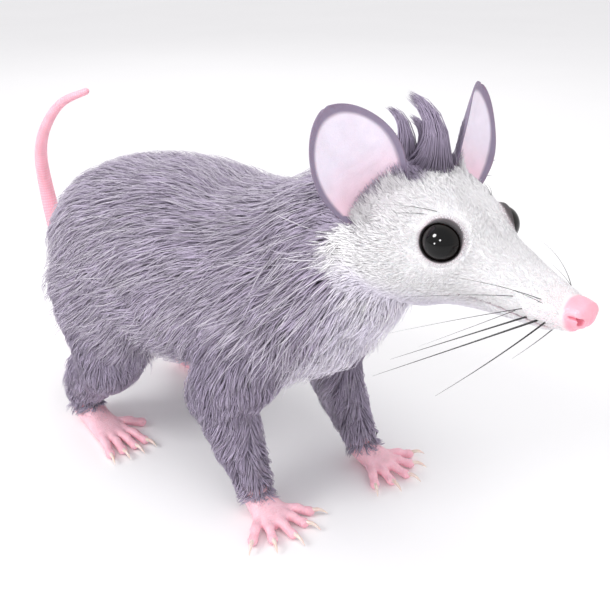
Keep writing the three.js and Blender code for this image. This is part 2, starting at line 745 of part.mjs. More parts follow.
// Locks lie over what is behind or below them: the ruff over the neck, the mane over the trunk, and the
// trunk's coat over the legs and the root of the tail.
function build() {
  const [trunkSkin, neckSkin, headSkin] = [trunk, neck, head].map((limb) => limb.geometry());
  const underCoat = [tail.geometry(), ...LEGS.map(({ limb }) => limb.geometry())];
  const coat = trunkLocks(new Hide(trunk, trunkSkin, underCoat));
  const mane = neckLocks(new Hide(neck, neckSkin, [trunkSkin, headSkin]));
  const ruff = headLocks(new Hide(head, headSkin, [neckSkin]));
  const trunkClear = [trunk.solid(GAP), ...clears(coat)];
  const headClear = [head.solid(GAP), ...clears(ruff)];
  addBody(coat, mane);
  addNeck(mane, trunkClear, headClear);
  addHead(ruff, mane, headClear);
  LEGS.forEach((leg, index) => addLeg(leg, index, [...trunkClear, ...clears(mane)]));
  addTail(trunkClear);

  const box = new THREE.Box3().setFromObject(animal);
  const centre = box.getCenter(new THREE.Vector3());
  animal.position.set(-centre.x, -centre.y, -box.min.z);
}

build();

export default animal;
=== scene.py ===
import math

import bpy
import numpy as np
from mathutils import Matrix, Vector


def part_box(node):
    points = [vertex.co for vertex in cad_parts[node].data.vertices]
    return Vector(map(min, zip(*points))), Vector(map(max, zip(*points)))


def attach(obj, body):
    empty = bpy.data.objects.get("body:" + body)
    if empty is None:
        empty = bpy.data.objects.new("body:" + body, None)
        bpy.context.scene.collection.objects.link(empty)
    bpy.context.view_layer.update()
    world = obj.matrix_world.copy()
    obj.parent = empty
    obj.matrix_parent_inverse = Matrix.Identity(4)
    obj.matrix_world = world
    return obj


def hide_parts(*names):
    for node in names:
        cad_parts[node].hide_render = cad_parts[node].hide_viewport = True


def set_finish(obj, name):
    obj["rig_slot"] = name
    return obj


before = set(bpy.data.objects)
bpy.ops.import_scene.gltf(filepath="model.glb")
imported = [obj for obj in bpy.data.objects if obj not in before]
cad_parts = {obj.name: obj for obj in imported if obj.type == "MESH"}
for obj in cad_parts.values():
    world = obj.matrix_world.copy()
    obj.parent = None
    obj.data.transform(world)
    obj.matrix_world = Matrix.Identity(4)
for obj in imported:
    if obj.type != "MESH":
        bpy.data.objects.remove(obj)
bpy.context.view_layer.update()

import openvdb
from mathutils import Matrix, Vector
from mathutils.kdtree import KDTree

# Lengths are in millimetres until a mesh is made, and places are in the source's own frame, as there.
MM = 0.001
TRUNK_LENGTH = 228
TRUNK_WIDTH = 132
TRUNK_DEPTH = 116
RUMP_X = -140
TRUNK_HEIGHT = 130
HEAD_LENGTH = 138
HEAD_WIDTH = 80
HEAD_DEPTH = 67
HEAD_YAW = -0.15
HEAD_PITCH = 0.13
EAR_HEIGHT = 56
EAR_WIDTH = 49
EYE_RADIUS = 9.6
TAIL_THICKNESS = 25
FOREFOOT_LENGTH = 46
HINDFOOT_LENGTH = 64
TOE_RADIUS = 3.3
CLAW_LENGTH = 8
SKULL_BACK = np.array([120.0, -6.0, 201.0])

# How far the skin lies inside the solids: the depth of the woolly underfur.
UNDERFUR = 2.5
LEG_UNDERFUR = 1.2
FACE_UNDERFUR = 0.4

EYE = np.array([70.0, 18.9, 11.5])
EYE_LOOKS = np.array([0.42, 0.86, 0.3])
LID = 1.05
EAR = np.array([31, 29, 19])
EAR_WIDEST = 0.56

UP = np.array([0.0, 0.0, 1.0])
FORWARD = np.array([1.0, 0.0, 0.0])
SIDES = {"left": 1, "right": -1}


def colour(code):
    """A colour written as a web page writes it, in linear light."""
    parts = np.array([int(code[k : k + 2], 16) / 255 for k in (0, 2, 4)])
    return np.where(parts < 0.04045, parts / 12.92, ((parts + 0.055) / 1.055) ** 2.4)


GREY = colour("b8adc2")
BACK_GREY = colour("b3a8bd")
LEG_GREY = colour("a99eb4")
CHEST = colour("f6f2fb")
# Pale lilac of the throat, also used as painted shade under the jaw.
THROAT_AND_JAW_SHADE = colour("efe9f8")
WHITE = colour("faf8fa")
CAP_GREY = colour("a599b0")
PINK = colour("ffcbd7")
# A deeper pink for the tail's root, also used as painted shade on the nose, the feet and the tail's grooves.
DEEP_PINK_AND_SHADE = colour("fba9bd")
NOSE_PINK = colour("ffb4c4")
LIP = colour("a58a96")
RIM = colour("181317")
FACE_SKIN = colour("f8e6ea")
UNDER_COAT = colour("8b8097")
EAR_INSIDE = colour("efe6f4")
EAR_FLUSH = colour("f3c9d8")
EAR_OUTSIDE = colour("8d8299")


def unit(vectors):
    return vectors / np.maximum(np.linalg.norm(vectors, axis=-1, keepdims=True), 1e-9)


def smoothstep(low, high, values):
    t = np.clip((values - low) / (high - low), 0, 1)
    return t * t * (3 - 2 * t)


def mix(a, b, share):
    return a + (b - a) * share


def wobble(points, size, seed):
    """Smooth noise from about -1 to 1 that changes over the given size."""
    rng = np.random.default_rng(seed)
    total = 0
    for _ in range(5):
        wave = unit(rng.normal(size=3)) * rng.uniform(0.7, 1.5) * 2 * np.pi / size
        total = total + np.sin(points @ wave + rng.uniform(0, 2 * np.pi))
    return total / 2.6


def spline(points, shares):
    """A centripetal Catmull-Rom curve through the points, at shares from 0 to 1."""
    points = np.asarray(points, float)
    run = np.vstack([2 * points[0] - points[1], points, 2 * points[-1] - points[-2]])
    place = np.clip(shares, 0, 1) * (len(points) - 1)
    first = np.minimum(place.astype(int), len(points) - 2)
    t = (place - first)[:, None]
    a, b, c, d = (run[first + k] for k in range(4))
    ab, bc, cd = (
        np.maximum(np.sqrt(np.linalg.norm(q - p, axis=1)), 1e-4)[:, None]
        for p, q in ((a, b), (b, c), (c, d))
    )
    leave = ((b - a) / ab - (c - a) / (ab + bc) + (c - b) / bc) * bc
    reach = ((c - b) / bc - (d - b) / (bc + cd) + (d - c) / cd) * bc
    bend = 3 * (c - b) - 2 * leave - reach
    return b + leave * t + bend * t**2 + (2 * (b - c) + leave + reach) * t**3


def tube_faces(loops, sides):
    """The quads of a stack of loops, and the triangles to a tip before the first and after the last."""
    k = np.arange(sides)
    following = (k + 1) % sides
    starts = np.arange(loops - 1)[:, None] * sides
    corners = [starts + k, starts + following, starts + following + sides, starts + k + sides]
    quads = np.stack(corners, -1).reshape(-1, 4)
    start, last = loops * sides, (loops - 1) * sides
    caps = [
        np.stack([np.full(sides, start), following, k], -1),
        np.stack([np.full(sides, start + 1), last + k, last + following], -1),
    ]
    return quads, np.vstack(caps)


class Limb:
    """A limb or trunk as oval rings along a smooth curve.

    Its keys hold a centre, half the width, and the depth on the side that upward points to and on the other.
    """

    def __init__(self, keys, upward=UP, domes=(6, 6), square=2.0):
        keys = np.array(keys, float)
        self.centres, self.sizes = keys[:, :3], keys[:, 3:]
        self.upward, self.domes, self.square = np.array(upward, float), domes, square

    def moved(self, turn, origin):
        """The same limb in a frame with that turn and origin."""
        keys = np.hstack([(self.centres - origin) @ turn, self.sizes])
        return Limb(keys, self.upward @ turn, self.domes, self.square)

    def rings(self, shares):
        step = 1e-3
        centre = spline(self.centres, shares)
        ahead = unit(spline(self.centres, shares + step) - spline(self.centres, shares - step))
        side = unit(np.cross(self.upward, ahead))
        return centre, ahead, side, np.cross(ahead, side), spline(self.sizes, shares)

    def squared(self, values):
        """Sines or cosines of an oval that is a little square."""
        return np.sign(values) * np.abs(values) ** (2 / self.square)

    def mesh(self, grow=0.0, rings=60, sides=48, dome_steps=8):
        dome = np.arange(dome_steps, 0, -1) * np.pi / (2 * dome_steps + 2)
        shares = np.concatenate([0 * dome, np.linspace(0, 1, rings + 1), 0 * dome + 1])
        shrink = np.concatenate([np.cos(dome), np.ones(rings + 1), np.cos(dome[::-1])])
        first, last = (length + grow for length in self.domes)
        along = np.concatenate([-first * np.sin(dome), np.zeros(rings + 1), last * np.sin(dome[::-1])])
        centre, ahead, side, up, size = self.rings(shares)
        angle = np.arange(sides) * 2 * np.pi / sides
        across = self.squared(np.cos(angle)) * (size[:, :1] + grow) * shrink[:, None]
        tall = np.where(np.sin(angle) > 0, size[:, 1:2], size[:, 2:3]) + grow
        rise = self.squared(np.sin(angle)) * tall * shrink[:, None]
        middle = (centre + ahead * along[:, None])[:, None]
        loops = middle + side[:, None] * across[..., None] + up[:, None] * rise[..., None]
        tips = [centre[0] - ahead[0] * first, centre[-1] + ahead[-1] * last]
        return np.vstack([loops.reshape(-1, 3), tips]), *tube_faces(len(shares), sides)

    def locate(self, points):
        """The share along the limb and the angle round it of the place nearest to each point."""
        shares = np.linspace(0, 1, 73)
        centre, _, side, up, _ = self.rings(shares)
        nearest = np.argmin(((points[:, None] - centre[None]) ** 2).sum(-1), axis=1)
        offset = points - centre[nearest]
        angle = np.arctan2((offset * up[nearest]).sum(-1), (offset * side[nearest]).sum(-1))
        return shares[nearest], angle


class Grid:
    """A block of space in cubes, which holds the distance to a surface, below 0 inside it."""

    def __init__(self, low, high, voxel):
        self.voxel = voxel
        self.start = np.floor(np.array(low) / voxel).astype(int)
        self.shape = tuple(np.ceil(np.array(high) / voxel).astype(int) - self.start + 1)

    def places(self):
        axes = [(s + np.arange(n, dtype=np.float32)) * self.voxel for s, n in zip(self.start, self.shape)]
        return axes[0][:, None, None], axes[1][None, :, None], axes[2][None, None, :]

    def level(self, mesh, band):
        points, quads, triangles = mesh
        level = openvdb.FloatGrid.createLevelSetFromPolygons(
            points.astype(np.float32),
            quads=quads.astype(np.uint32),
            triangles=triangles.astype(np.uint32),
            transform=openvdb.createLinearTransform(voxelSize=self.voxel),
            halfWidth=band / self.voxel,
        )
        values = np.zeros(self.shape, np.float32)
        level.copyToArray(values, ijk=tuple(int(s) for s in self.start))
        return values

    def surface(self, values):
        """The points and quads of the surface where the values pass 0, its faces pointing out."""
        most = 3 * self.voxel
        level = openvdb.FloatGrid(most)
        level.copyFromArray(np.clip(values, -most, most), ijk=tuple(int(s) for s in self.start))
        level.transform = openvdb.createLinearTransform(voxelSize=self.voxel)
        level.gridClass = openvdb.GridClass.LEVEL_SET
        points, quads = level.convertToQuads(isovalue=0.0)
        points, quads = points.astype(float), quads.astype(np.int64)
        a, b, c, d = (points[quads[:, k]] for k in range(4))
        if (np.cross(c - a, d - b) * self.slope(values, (a + c) / 2)).sum() < 0:
            quads = quads[:, ::-1]
        return points, quads

    def sample(self, values, points):
        place = np.clip(points / self.voxel - self.start, 0, np.array(self.shape) - 1.001)
        low = place.astype(int)
        f = place - low
        flat = values.reshape(-1)
        strides = np.array([self.shape[1] * self.shape[2], self.shape[2], 1])
        base = low @ strides
        total = 0
        for corner in range(8):
            step = np.array([corner >> 2 & 1, corner >> 1 & 1, corner & 1])
            weight = np.prod(np.where(step, f, 1 - f), axis=1)
            total = total + weight * flat[base + step @ strides]
        return total

    def slope(self, values, points):
        reach = self.voxel
        steps = np.eye(3) * reach
        return unit(
            np.stack([self.sample(values, points + s) - self.sample(values, points - s) for s in steps], -1)
        )


def blend(a, b, reach):
    """Joins two distance fields with a soft fillet."""
    share = np.clip(0.5 + 0.5 * (b - a) / reach, 0, 1)
    return b + (a - b) * share - reach * share * (1 - share)


def carve(a, b, reach):
    """Takes field b out of field a, with a soft edge."""
    return -blend(-a, b, reach)


# The frame of the head: x from the back of the skull to the nose, y left, z up.
HEAD_TURN = np.array(Matrix.Rotation(HEAD_YAW, 3, "Z") @ Matrix.Rotation(HEAD_PITCH, 3, "Y"))


def on_head(points):
    return SKULL_BACK + np.asarray(points, float) @ HEAD_TURN.T


def in_head(points):
    return (points - SKULL_BACK) @ HEAD_TURN


low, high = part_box("eye_left")
SHIFT = np.array((low + high) / 2) / MM - on_head(EYE)

trunk = Limb(
    [
        [
            RUMP_X + share * TRUNK_LENGTH,
            0,
            TRUNK_HEIGHT + rise,
            width * TRUNK_WIDTH / 2,
            up * TRUNK_DEPTH / 2,
            down * TRUNK_DEPTH / 2,
        ]
        for share, rise, width, up, down in [
            (0.0, -18, 0.47, 0.57, 0.55),
            (0.14, -11, 0.81, 0.9, 0.87),
            (0.32, -4, 1.0, 1.03, 0.98),
            (0.52, 0, 1.0, 1.02, 1.02),
            (0.72, 3, 0.91, 0.94, 0.97),
            (0.88, 9, 0.79, 0.85, 0.91),
            (1.0, 17, 0.62, 0.69, 0.75),
        ]
    ],
    domes=(20, 18),
    square=2.15,
)
neck = Limb(
    [
        [60, 0, 142, 50, 46, 50],
        [88, -2, 161, 47, 41, 48],
        [112, -5, 181, 41, 35, 43],
        [136, -8, 197, 34, 29, 35],
    ],
    domes=(4, 4),
)
skull = Limb(
    [
        [share * HEAD_LENGTH, 0, rise, width * HEAD_WIDTH / 2, up * HEAD_DEPTH / 2, down * HEAD_DEPTH / 2]
        for share, rise, width, up, down in [
            (0.03, 0, 0.62, 0.66, 0.7),
            (0.14, 0, 0.9, 0.93, 0.93),
            (0.27, 0, 1.0, 1.0, 1.0),
            (0.4, 0, 0.93, 0.9, 0.93),
            (0.52, 0.5, 0.7, 0.73, 0.66),
            (0.64, 0.5, 0.5, 0.47, 0.36),
            (0.78, 0, 0.38, 0.33, 0.28),
            (0.9, -0.5, 0.31, 0.25, 0.24),
            (0.965, -0.5, 0.24, 0.21, 0.19),
        ]
    ],
    domes=(7, 3),
)
jaw = Limb(
    [
        [44, 0, -19.5, 17, 8.5, 9.5],
        [65, 0, -16, 15, 7.5, 8.5],
        [87, 0, -12, 11.5, 6.2, 6.8],
        [109, 0, -9.4, 9.2, 5, 5.2],
        [121, 0, -8.4, 7, 4, 4],
    ],
    domes=(4, 4),
)
nose = Limb(
    [[128, 0, 1.0, 6.0, 5.0, 4.8], [132, 0, 1.2, 8.3, 6.7, 6.1], [136, 0, 1.2, 8.0, 6.5, 5.7]],
    domes=(1, 3.5),
)


def leg(keys, side, forward):
    placed = [[x + forward * (1 - z / 140), side * y, z, *size] for x, y, z, *size in keys]
    return Limb(placed, upward=FORWARD, domes=(6, 3))


def foreleg(side, forward):
    keys = [
        [66, 31, 128, 24, 30, 30],
        [57, 39, 98, 22, 26, 28],
        [50, 44, 74, 18, 20, 22],
        [56, 44, 50, 13.5, 14.5, 16],
        [68, 43, 27, 10.5, 11, 12.5],
        [73, 43, 19, 9.6, 10, 11],
    ]
    return leg(keys, side, forward)


def hindleg(side, forward):
    keys = [
        [-88, 35, 112, 29, 40, 36],
        [-70, 46, 88, 26, 34, 35],
        [-68, 51, 66, 20, 25, 27],
        [-84, 52, 46, 14.5, 17, 18],
        [-100, 52, 29, 11.5, 12.5, 12],
        [-105, 52, 20, 10.3, 11.2, 10.4],
    ]
    return leg(keys, side, forward)


TAIL_POINTS = [
    [-148, 0, 116],
    [-170, 4, 99],
    [-197, 14, 78],
    [-226, 24, 72],
    [-250, 30, 90],
    [-259, 30, 123],
    [-251, 24, 156],
    [-230, 19, 183],
    [-207, 22, 205],
    [-184, 32, 216],
]


def tail_radius(share):
    return TAIL_THICKNESS / 2 * (1 - 0.78 * share**0.8)


tail = Limb(
    [
        [*point, *[tail_radius(i / (len(TAIL_POINTS) - 1))] * 3]
        for i, point in enumerate(TAIL_POINTS)
    ],
    upward=(0, 1, 0),
    domes=(4, 3),
)

LEGS = {
    "foreleg_left": foreleg(1, 10),
    "foreleg_right": foreleg(-1, -4),
    "hindleg_left": hindleg(1, -8),
    "hindleg_right": hindleg(-1, 8),
}


def ground(start, heading, length):
    """What gives a place at a share of the way along a foot and a height, and the way across it."""
    direction = np.array([math.cos(heading), math.sin(heading), 0])

    def at(share, z):
        return [*(start + direction * share * length)[:2], z]

    return at, np.array([-math.sin(heading), math.cos(heading), 0])


# Keys along a toe, a palm and a sole: the share of its length, the height and the sizes.
# A toe's heights and sizes are in its radius.
TOE = [(0, 1.5, 1.05, 1, 1), (0.3, 1.62, 0.9, 0.86, 0.95), (0.5, 1.55, 0.98, 0.95, 1)]
TOE += [(0.7, 1.15, 0.85, 0.82, 0.9), (0.9, 0.95, 1, 0.86, 0.95)]
PALM = [(-0.1, 13, 8.6, 9, 9), (0.25, 9, 9.6, 7.5, 9), (0.6, 6, 11.5, 5.5, 7.6), (0.95, 4.5, 11, 4, 5.6)]
SOLE = [(-0.12, 9, 8, 8.5, 9), (0.15, 9, 9, 10.5, 10.5), (0.5, 6.5, 10.5, 7, 8)]
SOLE += [(0.85, 5, 12, 5, 6.2), (1.0, 4.5, 11, 4, 4.8)]


def toe(root, heading, length, radius):
    """A toe and its claw, from inside the palm outward."""
    at, _ = ground(root, heading, length)
    keys = [[*at(share, radius * z), *(radius * size for size in sizes)] for share, z, *sizes in TOE]
    finger = Limb(keys, domes=(1, radius * 1.05))
    start, reach = 1.04, CLAW_LENGTH / length
    claw = [
        [*at(0.98, radius * 1.2), 1.35, 1.5, 1.4],
        [*at(start + reach * 0.35, radius * 1.32), 1.1, 1.25, 1.1],
        [*at(start + reach * 0.7, radius * 1.05), 0.75, 0.85, 0.8],
        [*at(start + reach, radius * 0.55), 0.25, 0.28, 0.25],
    ]
    return finger, Limb(claw, domes=(0.5, 0.5))


def forefoot(side, ankle):
    """The limbs of a forefoot, and its claws."""
    heading = 0.12 * side
    at, across = ground(ankle, heading, FOREFOOT_LENGTH * 0.5)
    palm = Limb([[*at(share, z), *sizes] for share, z, *sizes in PALM], domes=(3, 3))
    toes = []
    for k in (-2, -1, 0, 1, 2):
        root = np.array(at(0.68 - 0.05 * abs(k), 4)) + across * k * 4.4
        length = FOREFOOT_LENGTH * (0.47 - 0.025 * abs(k))
        toes.append(toe(root, heading + k * 0.42, length, TOE_RADIUS))
    return [palm, *(finger for finger, _ in toes)], [claw for _, claw in toes]


def hindfoot(side, ankle):
    """The limbs of a hind foot, whose thumb has no claw, and its claws."""
    heading = 0.1 * side
    at, across = ground(ankle, heading, HINDFOOT_LENGTH * 0.62)
    sole = Limb([[*at(share, z), *sizes] for share, z, *sizes in SOLE], domes=(5, 3))
    toes = []
    for k in (-1.5, -0.5, 0.5, 1.5):
        root = np.array(at(0.92, 4)) + across * k * 5.6
        toes.append(toe(root, heading + k * 0.17, HINDFOOT_LENGTH * (0.36 - 0.01 * abs(k)), TOE_RADIUS))
    thumb_root = np.array(at(0.62, 4)) - across * side * 7
    thumb, _ = toe(thumb_root, heading - side * 1.05, HINDFOOT_LENGTH * 0.34, TOE_RADIUS * 1.1)
    return [sole, *(finger for finger, _ in toes), thumb], [claw for _, claw in toes]


def foot_limbs(name):
    """The limbs of the foot below a leg, the palm or sole first, and its claws."""
    make = forefoot if name.startswith("fore") else hindfoot
    return make(SIDES[name.split("_")[1]], LEGS[name].centres[-1])


def make_mesh(name, points, faces):
    """A mesh object from points in millimetres and a list of arrays of faces."""
    mesh = bpy.data.meshes.new(name)
    faces = [np.asarray(part, np.int64) for part in faces if len(part)]
    corners = np.concatenate([part.reshape(-1) for part in faces])
    sizes = np.concatenate([np.full(len(part), part.shape[1]) for part in faces])
    starts = np.concatenate([[0], np.cumsum(sizes)[:-1]])
    mesh.vertices.add(len(points))
    mesh.vertices.foreach_set("co", ((points + SHIFT) * MM).astype(np.float32).reshape(-1))
    mesh.loops.add(len(corners))
    mesh.loops.foreach_set("vertex_index", corners.astype(np.int32))
    mesh.polygons.add(len(sizes))
    mesh.polygons.foreach_set("loop_start", starts.astype(np.int32))
    mesh.polygons.foreach_set("use_smooth", np.full(len(sizes), True))
    mesh.update(calc_edges=True)
    piece = bpy.data.objects.new(name, mesh)
    bpy.context.scene.collection.objects.link(piece)
    return piece


def places_of(piece):
    """The piece's points in millimetres, in the source's frame."""
    points = np.zeros(len(piece.data.vertices) * 3, np.float32)
    piece.data.vertices.foreach_get("co", points)
    return points.reshape(-1, 3).astype(float) / MM - SHIFT


def paint(piece, colours, name="Tint"):
    layer = piece.data.color_attributes.new(name, "FLOAT_COLOR", "POINT")
    filled = np.ones((len(colours), 4), np.float32)
    filled[:, :3] = colours
    layer.data.foreach_set("color", filled.reshape(-1))


def measure(piece, name, values):
    layer = piece.data.attributes.new(name, "FLOAT", "POINT")
    layer.data.foreach_set("value", np.asarray(values, np.float32))


def reduced(piece, ratio, keep):
    """Leaves the piece fewer faces, most of them taken where keep is low."""
    group = piece.vertex_groups.new(name="Reduce")
    levels = np.round((1 - keep) * 10).astype(int)
    for level in range(1, 11):
        group.add(np.flatnonzero(levels == level).tolist(), level / 10, "REPLACE")
    thin = piece.modifiers.new("Reduce", "DECIMATE")
    thin.ratio, thin.vertex_group, thin.vertex_group_factor = ratio, "Reduce", 1.0
    applied(piece)


def applied(piece):
    """Gives the piece the mesh that its modifiers make."""
    bpy.context.view_layer.update()
    evaluated = piece.evaluated_get(bpy.context.evaluated_depsgraph_get())
    piece.data = bpy.data.meshes.new_from_object(evaluated)
    piece.modifiers.clear()
    piece.vertex_groups.clear()


def kept(points, quads, inside):
    """The faces whose middle passes a test, with the points that they use."""
    quads = quads[inside(points[quads].mean(1))]
    used, faces = np.unique(quads, return_inverse=True)
    return points[used], faces.reshape(-1, 4)


# The skin of the whole animal as one coarse field, which also guides the coat.
# The skins of the feet reach up to one height, and the body's down to a lower one inside them.
FOOT_SKIN_TOP = 23
BODY_SKIN_BOTTOM = 17
BODY_BAND = 24
body_grid = Grid((-200, -88, -8), (272, 88, 262), 2.0)
world_skull = skull.moved(HEAD_TURN.T, -SKULL_BACK @ HEAD_TURN)
fields = {
    "trunk": body_grid.level(trunk.mesh(-UNDERFUR), BODY_BAND),
    "neck": body_grid.level(neck.mesh(-UNDERFUR), BODY_BAND),
    "head": body_grid.level(world_skull.mesh(-FACE_UNDERFUR), BODY_BAND),
    "tail": body_grid.level(tail.mesh(0, rings=120, sides=24), BODY_BAND),
}
for name, limb in LEGS.items():
    palm = foot_limbs(name)[0][0]
    fields[name] = np.minimum(
        body_grid.level(limb.mesh(-LEG_UNDERFUR), BODY_BAND), body_grid.level(palm.mesh(), BODY_BAND)
    )
body_field = blend(fields["trunk"], fields["neck"], 18)
for name in LEGS:
    body_field = blend(body_field, fields[name], 11)
body_field = blend(body_field, fields["head"], 8)
body_field = blend(body_field, fields["tail"], 7)


def ball(places, centre, sizes):
    """A soft round hill: 1 at its centre, falling to 0."""
    return np.exp(-sum(((p - c) / s) ** 2 for p, c, s in zip(places, centre, sizes)))


MOUTH_CORNER = 61.0
MOUTH_FRONT = 124.0
NOSTRIL = np.array([137.5, 5, 0.4])
NOSTRIL_TURN = 0.5
NOSE_PAD = np.array([134, 0, 1.2])


def mouth_height(x):
    return -8.2 - 0.0016 * np.maximum(MOUTH_FRONT - x, 0) ** 2


def off_pad(x, y, z, sizes):
    """Distance from the middle of the nose's pad, which is 1 on an oval of the given sizes."""
    return np.sqrt(sum(((p - c) / size) ** 2 for p, c, size in zip((x, y, z), NOSE_PAD, sizes)))


def eye_places(x, y, z):
    """Distance from the eye's centre, angle from where it looks, and the lids' opening there as an angle."""
    looks = unit(EYE_LOOKS)
    nosewards = unit(FORWARD - looks * looks[0])
    upwards = np.cross(looks, nosewards)
    upwards = upwards * np.sign(upwards[2])
    offset = (x - EYE[0], y - EYE[1], z - EYE[2])
    far = np.sqrt(sum(o**2 for o in offset)) + 1e-6
    ahead, across, rise = (sum(o * a for o, a in zip(offset, axis)) for axis in (looks, nosewards, upwards))
    angle = np.arccos(np.clip(ahead / far, -1, 1))
    flat = np.sqrt(across**2 + rise**2) + 1e-6
    opening = 1 / np.sqrt((across / flat / 1.16) ** 2 + (rise / flat / 1.0) ** 2)
    return far, angle, opening


HEAD_BAND = 9
head_grid = Grid((-24, -50, -48), (146, 50, 48), 0.5)


def head_shape():
    """The head's skin in its own frame, with brows, cheekbones, lips, nostrils and lids."""
    grid = head_grid
    x, y, z = grid.places()
    y = np.abs(y)
    here = (x, y, z)
    shape = grid.level(skull.mesh(-FACE_UNDERFUR, rings=100, sides=72), HEAD_BAND)
    shape = blend(shape, grid.level(jaw.mesh(-0.2, rings=60, sides=48), HEAD_BAND), 3.2)
    shape -= 1.3 * ball(here, (66, 14, 22), (11, 7, 6))
    shape -= 1.6 * ball(here, (50, 35, -6), (14, 9, 11))
    shape -= 0.9 * ball(here, (112, 12, -3), (9, 5, 4.5))
    shape += 1.0 * ball(here, (84, 17, 8), (9, 6, 7))
    shape += 0.8 * ball(here, (80, 0, 18), (16, 4, 6))
    line = z - mouth_height(x)
    lips = smoothstep(MOUTH_CORNER - 6, MOUTH_CORNER + 10, x)
    shape -= 0.7 * lips * np.exp(-(((line - 1.7) / 1.5) ** 2))
    shape -= 0.35 * lips * np.exp(-(((line + 1.6) / 1.3) ** 2))
    slit = np.maximum(np.maximum(np.abs(line) - 0.22, -(shape + 2.2)), MOUTH_CORNER - x)
    shape = carve(shape, slit, 0.5)
    shape = blend(shape, grid.level(nose.mesh(0, rings=24, sides=48), HEAD_BAND), 1.6)
    shape += 0.8 * np.exp(-((y / 0.8) ** 2)) * smoothstep(133, 137, x) * smoothstep(4.5, 2.0, z)
    turned, sideways = math.cos(NOSTRIL_TURN), math.sin(NOSTRIL_TURN)
    ahead = (x - NOSTRIL[0]) * turned + (y - NOSTRIL[1]) * sideways
    aside = (y - NOSTRIL[1]) * turned - (x - NOSTRIL[0]) * sideways
    nostril = (np.sqrt((ahead / 4.2) ** 2 + (aside / 1.6) ** 2 + ((z - NOSTRIL[2]) / 1.8) ** 2) - 1) * 1.6
    shape = carve(shape, nostril, 0.5)
    slot = (np.sqrt(((x - 136.3) / 3.2) ** 2 + ((y - 7.6) / 2.2) ** 2 + ((z - 1.9) / 0.65) ** 2) - 1) * 0.65
    shape = carve(shape, slot, 0.4)
    far, angle, opening = eye_places(x, y, z)
    shape = blend(shape, far - (EYE_RADIUS + LID), 2.2)
    shape += 0.45 * np.exp(-(((far - EYE_RADIUS - 2.6) / 0.7) ** 2)) * smoothstep(2.3, 1.2, angle)
    gap = (angle - opening) * far
    shape = carve(shape, np.maximum(gap, EYE_RADIUS - 1 - far), 0.5)
    shape = np.maximum(shape, (EYE_RADIUS + 0.05) - far)
    collar = neck.moved(HEAD_TURN, SKULL_BACK)
    return blend(shape, grid.level(collar.mesh(-UNDERFUR), HEAD_BAND), 8)


head_field = head_shape()


def past_cut(local):
    """How far places lie in front of the leaning cut between the head's skin and the body's."""
    return local[:, 0] - 3.0 - 0.43 * np.maximum(30 - local[:, 2], 0)


def dropped(local, height, rounds=3):
    """Places of the head's frame moved to a height over its skin, and the way out of it."""
    for _ in range(rounds):
        slope = head_grid.slope(head_field, local)
        local = local - slope * (head_grid.sample(head_field, local) - height)[:, None]
    return local, slope


def head_skin():
    points, quads = kept(*head_grid.surface(head_field), lambda middle: past_cut(middle) > 0)
    piece = make_mesh("head_skin", on_head(points), [quads])
    far, _, _ = eye_places(points[:, 0], np.abs(points[:, 1]), points[:, 2])
    mouth = np.abs(points[:, 2] - mouth_height(points[:, 0]))
    near_mouth = smoothstep(5, 2, mouth) * smoothstep(50, 60, points[:, 0])
    near_eye = smoothstep(EYE_RADIUS + 7, EYE_RADIUS + 3, far)
    near_nose = smoothstep(122, 128, points[:, 0])
    keep = np.maximum.reduce([near_mouth * 0.85, near_eye, near_nose * 0.9, 0.25 + 0 * far])
    reduced(piece, 0.34, keep)
    return piece, points, quads


def body_skin():
    points, quads = body_grid.surface(body_field)

    def inside(middle):
        local = in_head(middle)
        in_face = (past_cut(local) > 3) & (np.abs(local[:, 1]) < 60)
        tail_share, _ = tail.locate(middle)
        return ~in_face & (middle[:, 2] > BODY_SKIN_BOTTOM) & ~((tail_share > 0.09) & (middle[:, 0] < -150))

    return points, quads, inside


def foot_skin(name):
    leg_name = name.replace("foot", "leg")
    limb = LEGS[leg_name]
    parts, claws = foot_limbs(leg_name)
    joints = np.vstack([part.centres for part in parts])
    grid = Grid((*(joints.min(0)[:2] - 16), -3), (*(joints.max(0)[:2] + 16), 34), 0.5)
    shape = None
    for part in parts:
        level = grid.level(part.mesh(-0.15, rings=30, sides=24, dome_steps=5), 5)
        shape = level if shape is None else blend(shape, level, 1.7)
    shape = blend(shape, grid.level(limb.mesh(-LEG_UNDERFUR), 5), 4)
    _, _, z = grid.places()
    shape = np.maximum(shape, 0.1 - z)
    points, quads = kept(*grid.surface(shape), lambda middle: middle[:, 2] < FOOT_SKIN_TOP)
    piece = make_mesh(name + "_skin", points, [quads])
    reduced(piece, 0.22, np.full(len(points), 0.3))
    measure(piece, "Creased", smoothstep(22, 14, places_of(piece)[:, 2]))
    return piece, claws, (grid, shape, points, quads, parts[0])


TAIL_ROWS = 118
TAIL_COLUMNS = 24
TAIL_SCALE = 0.3


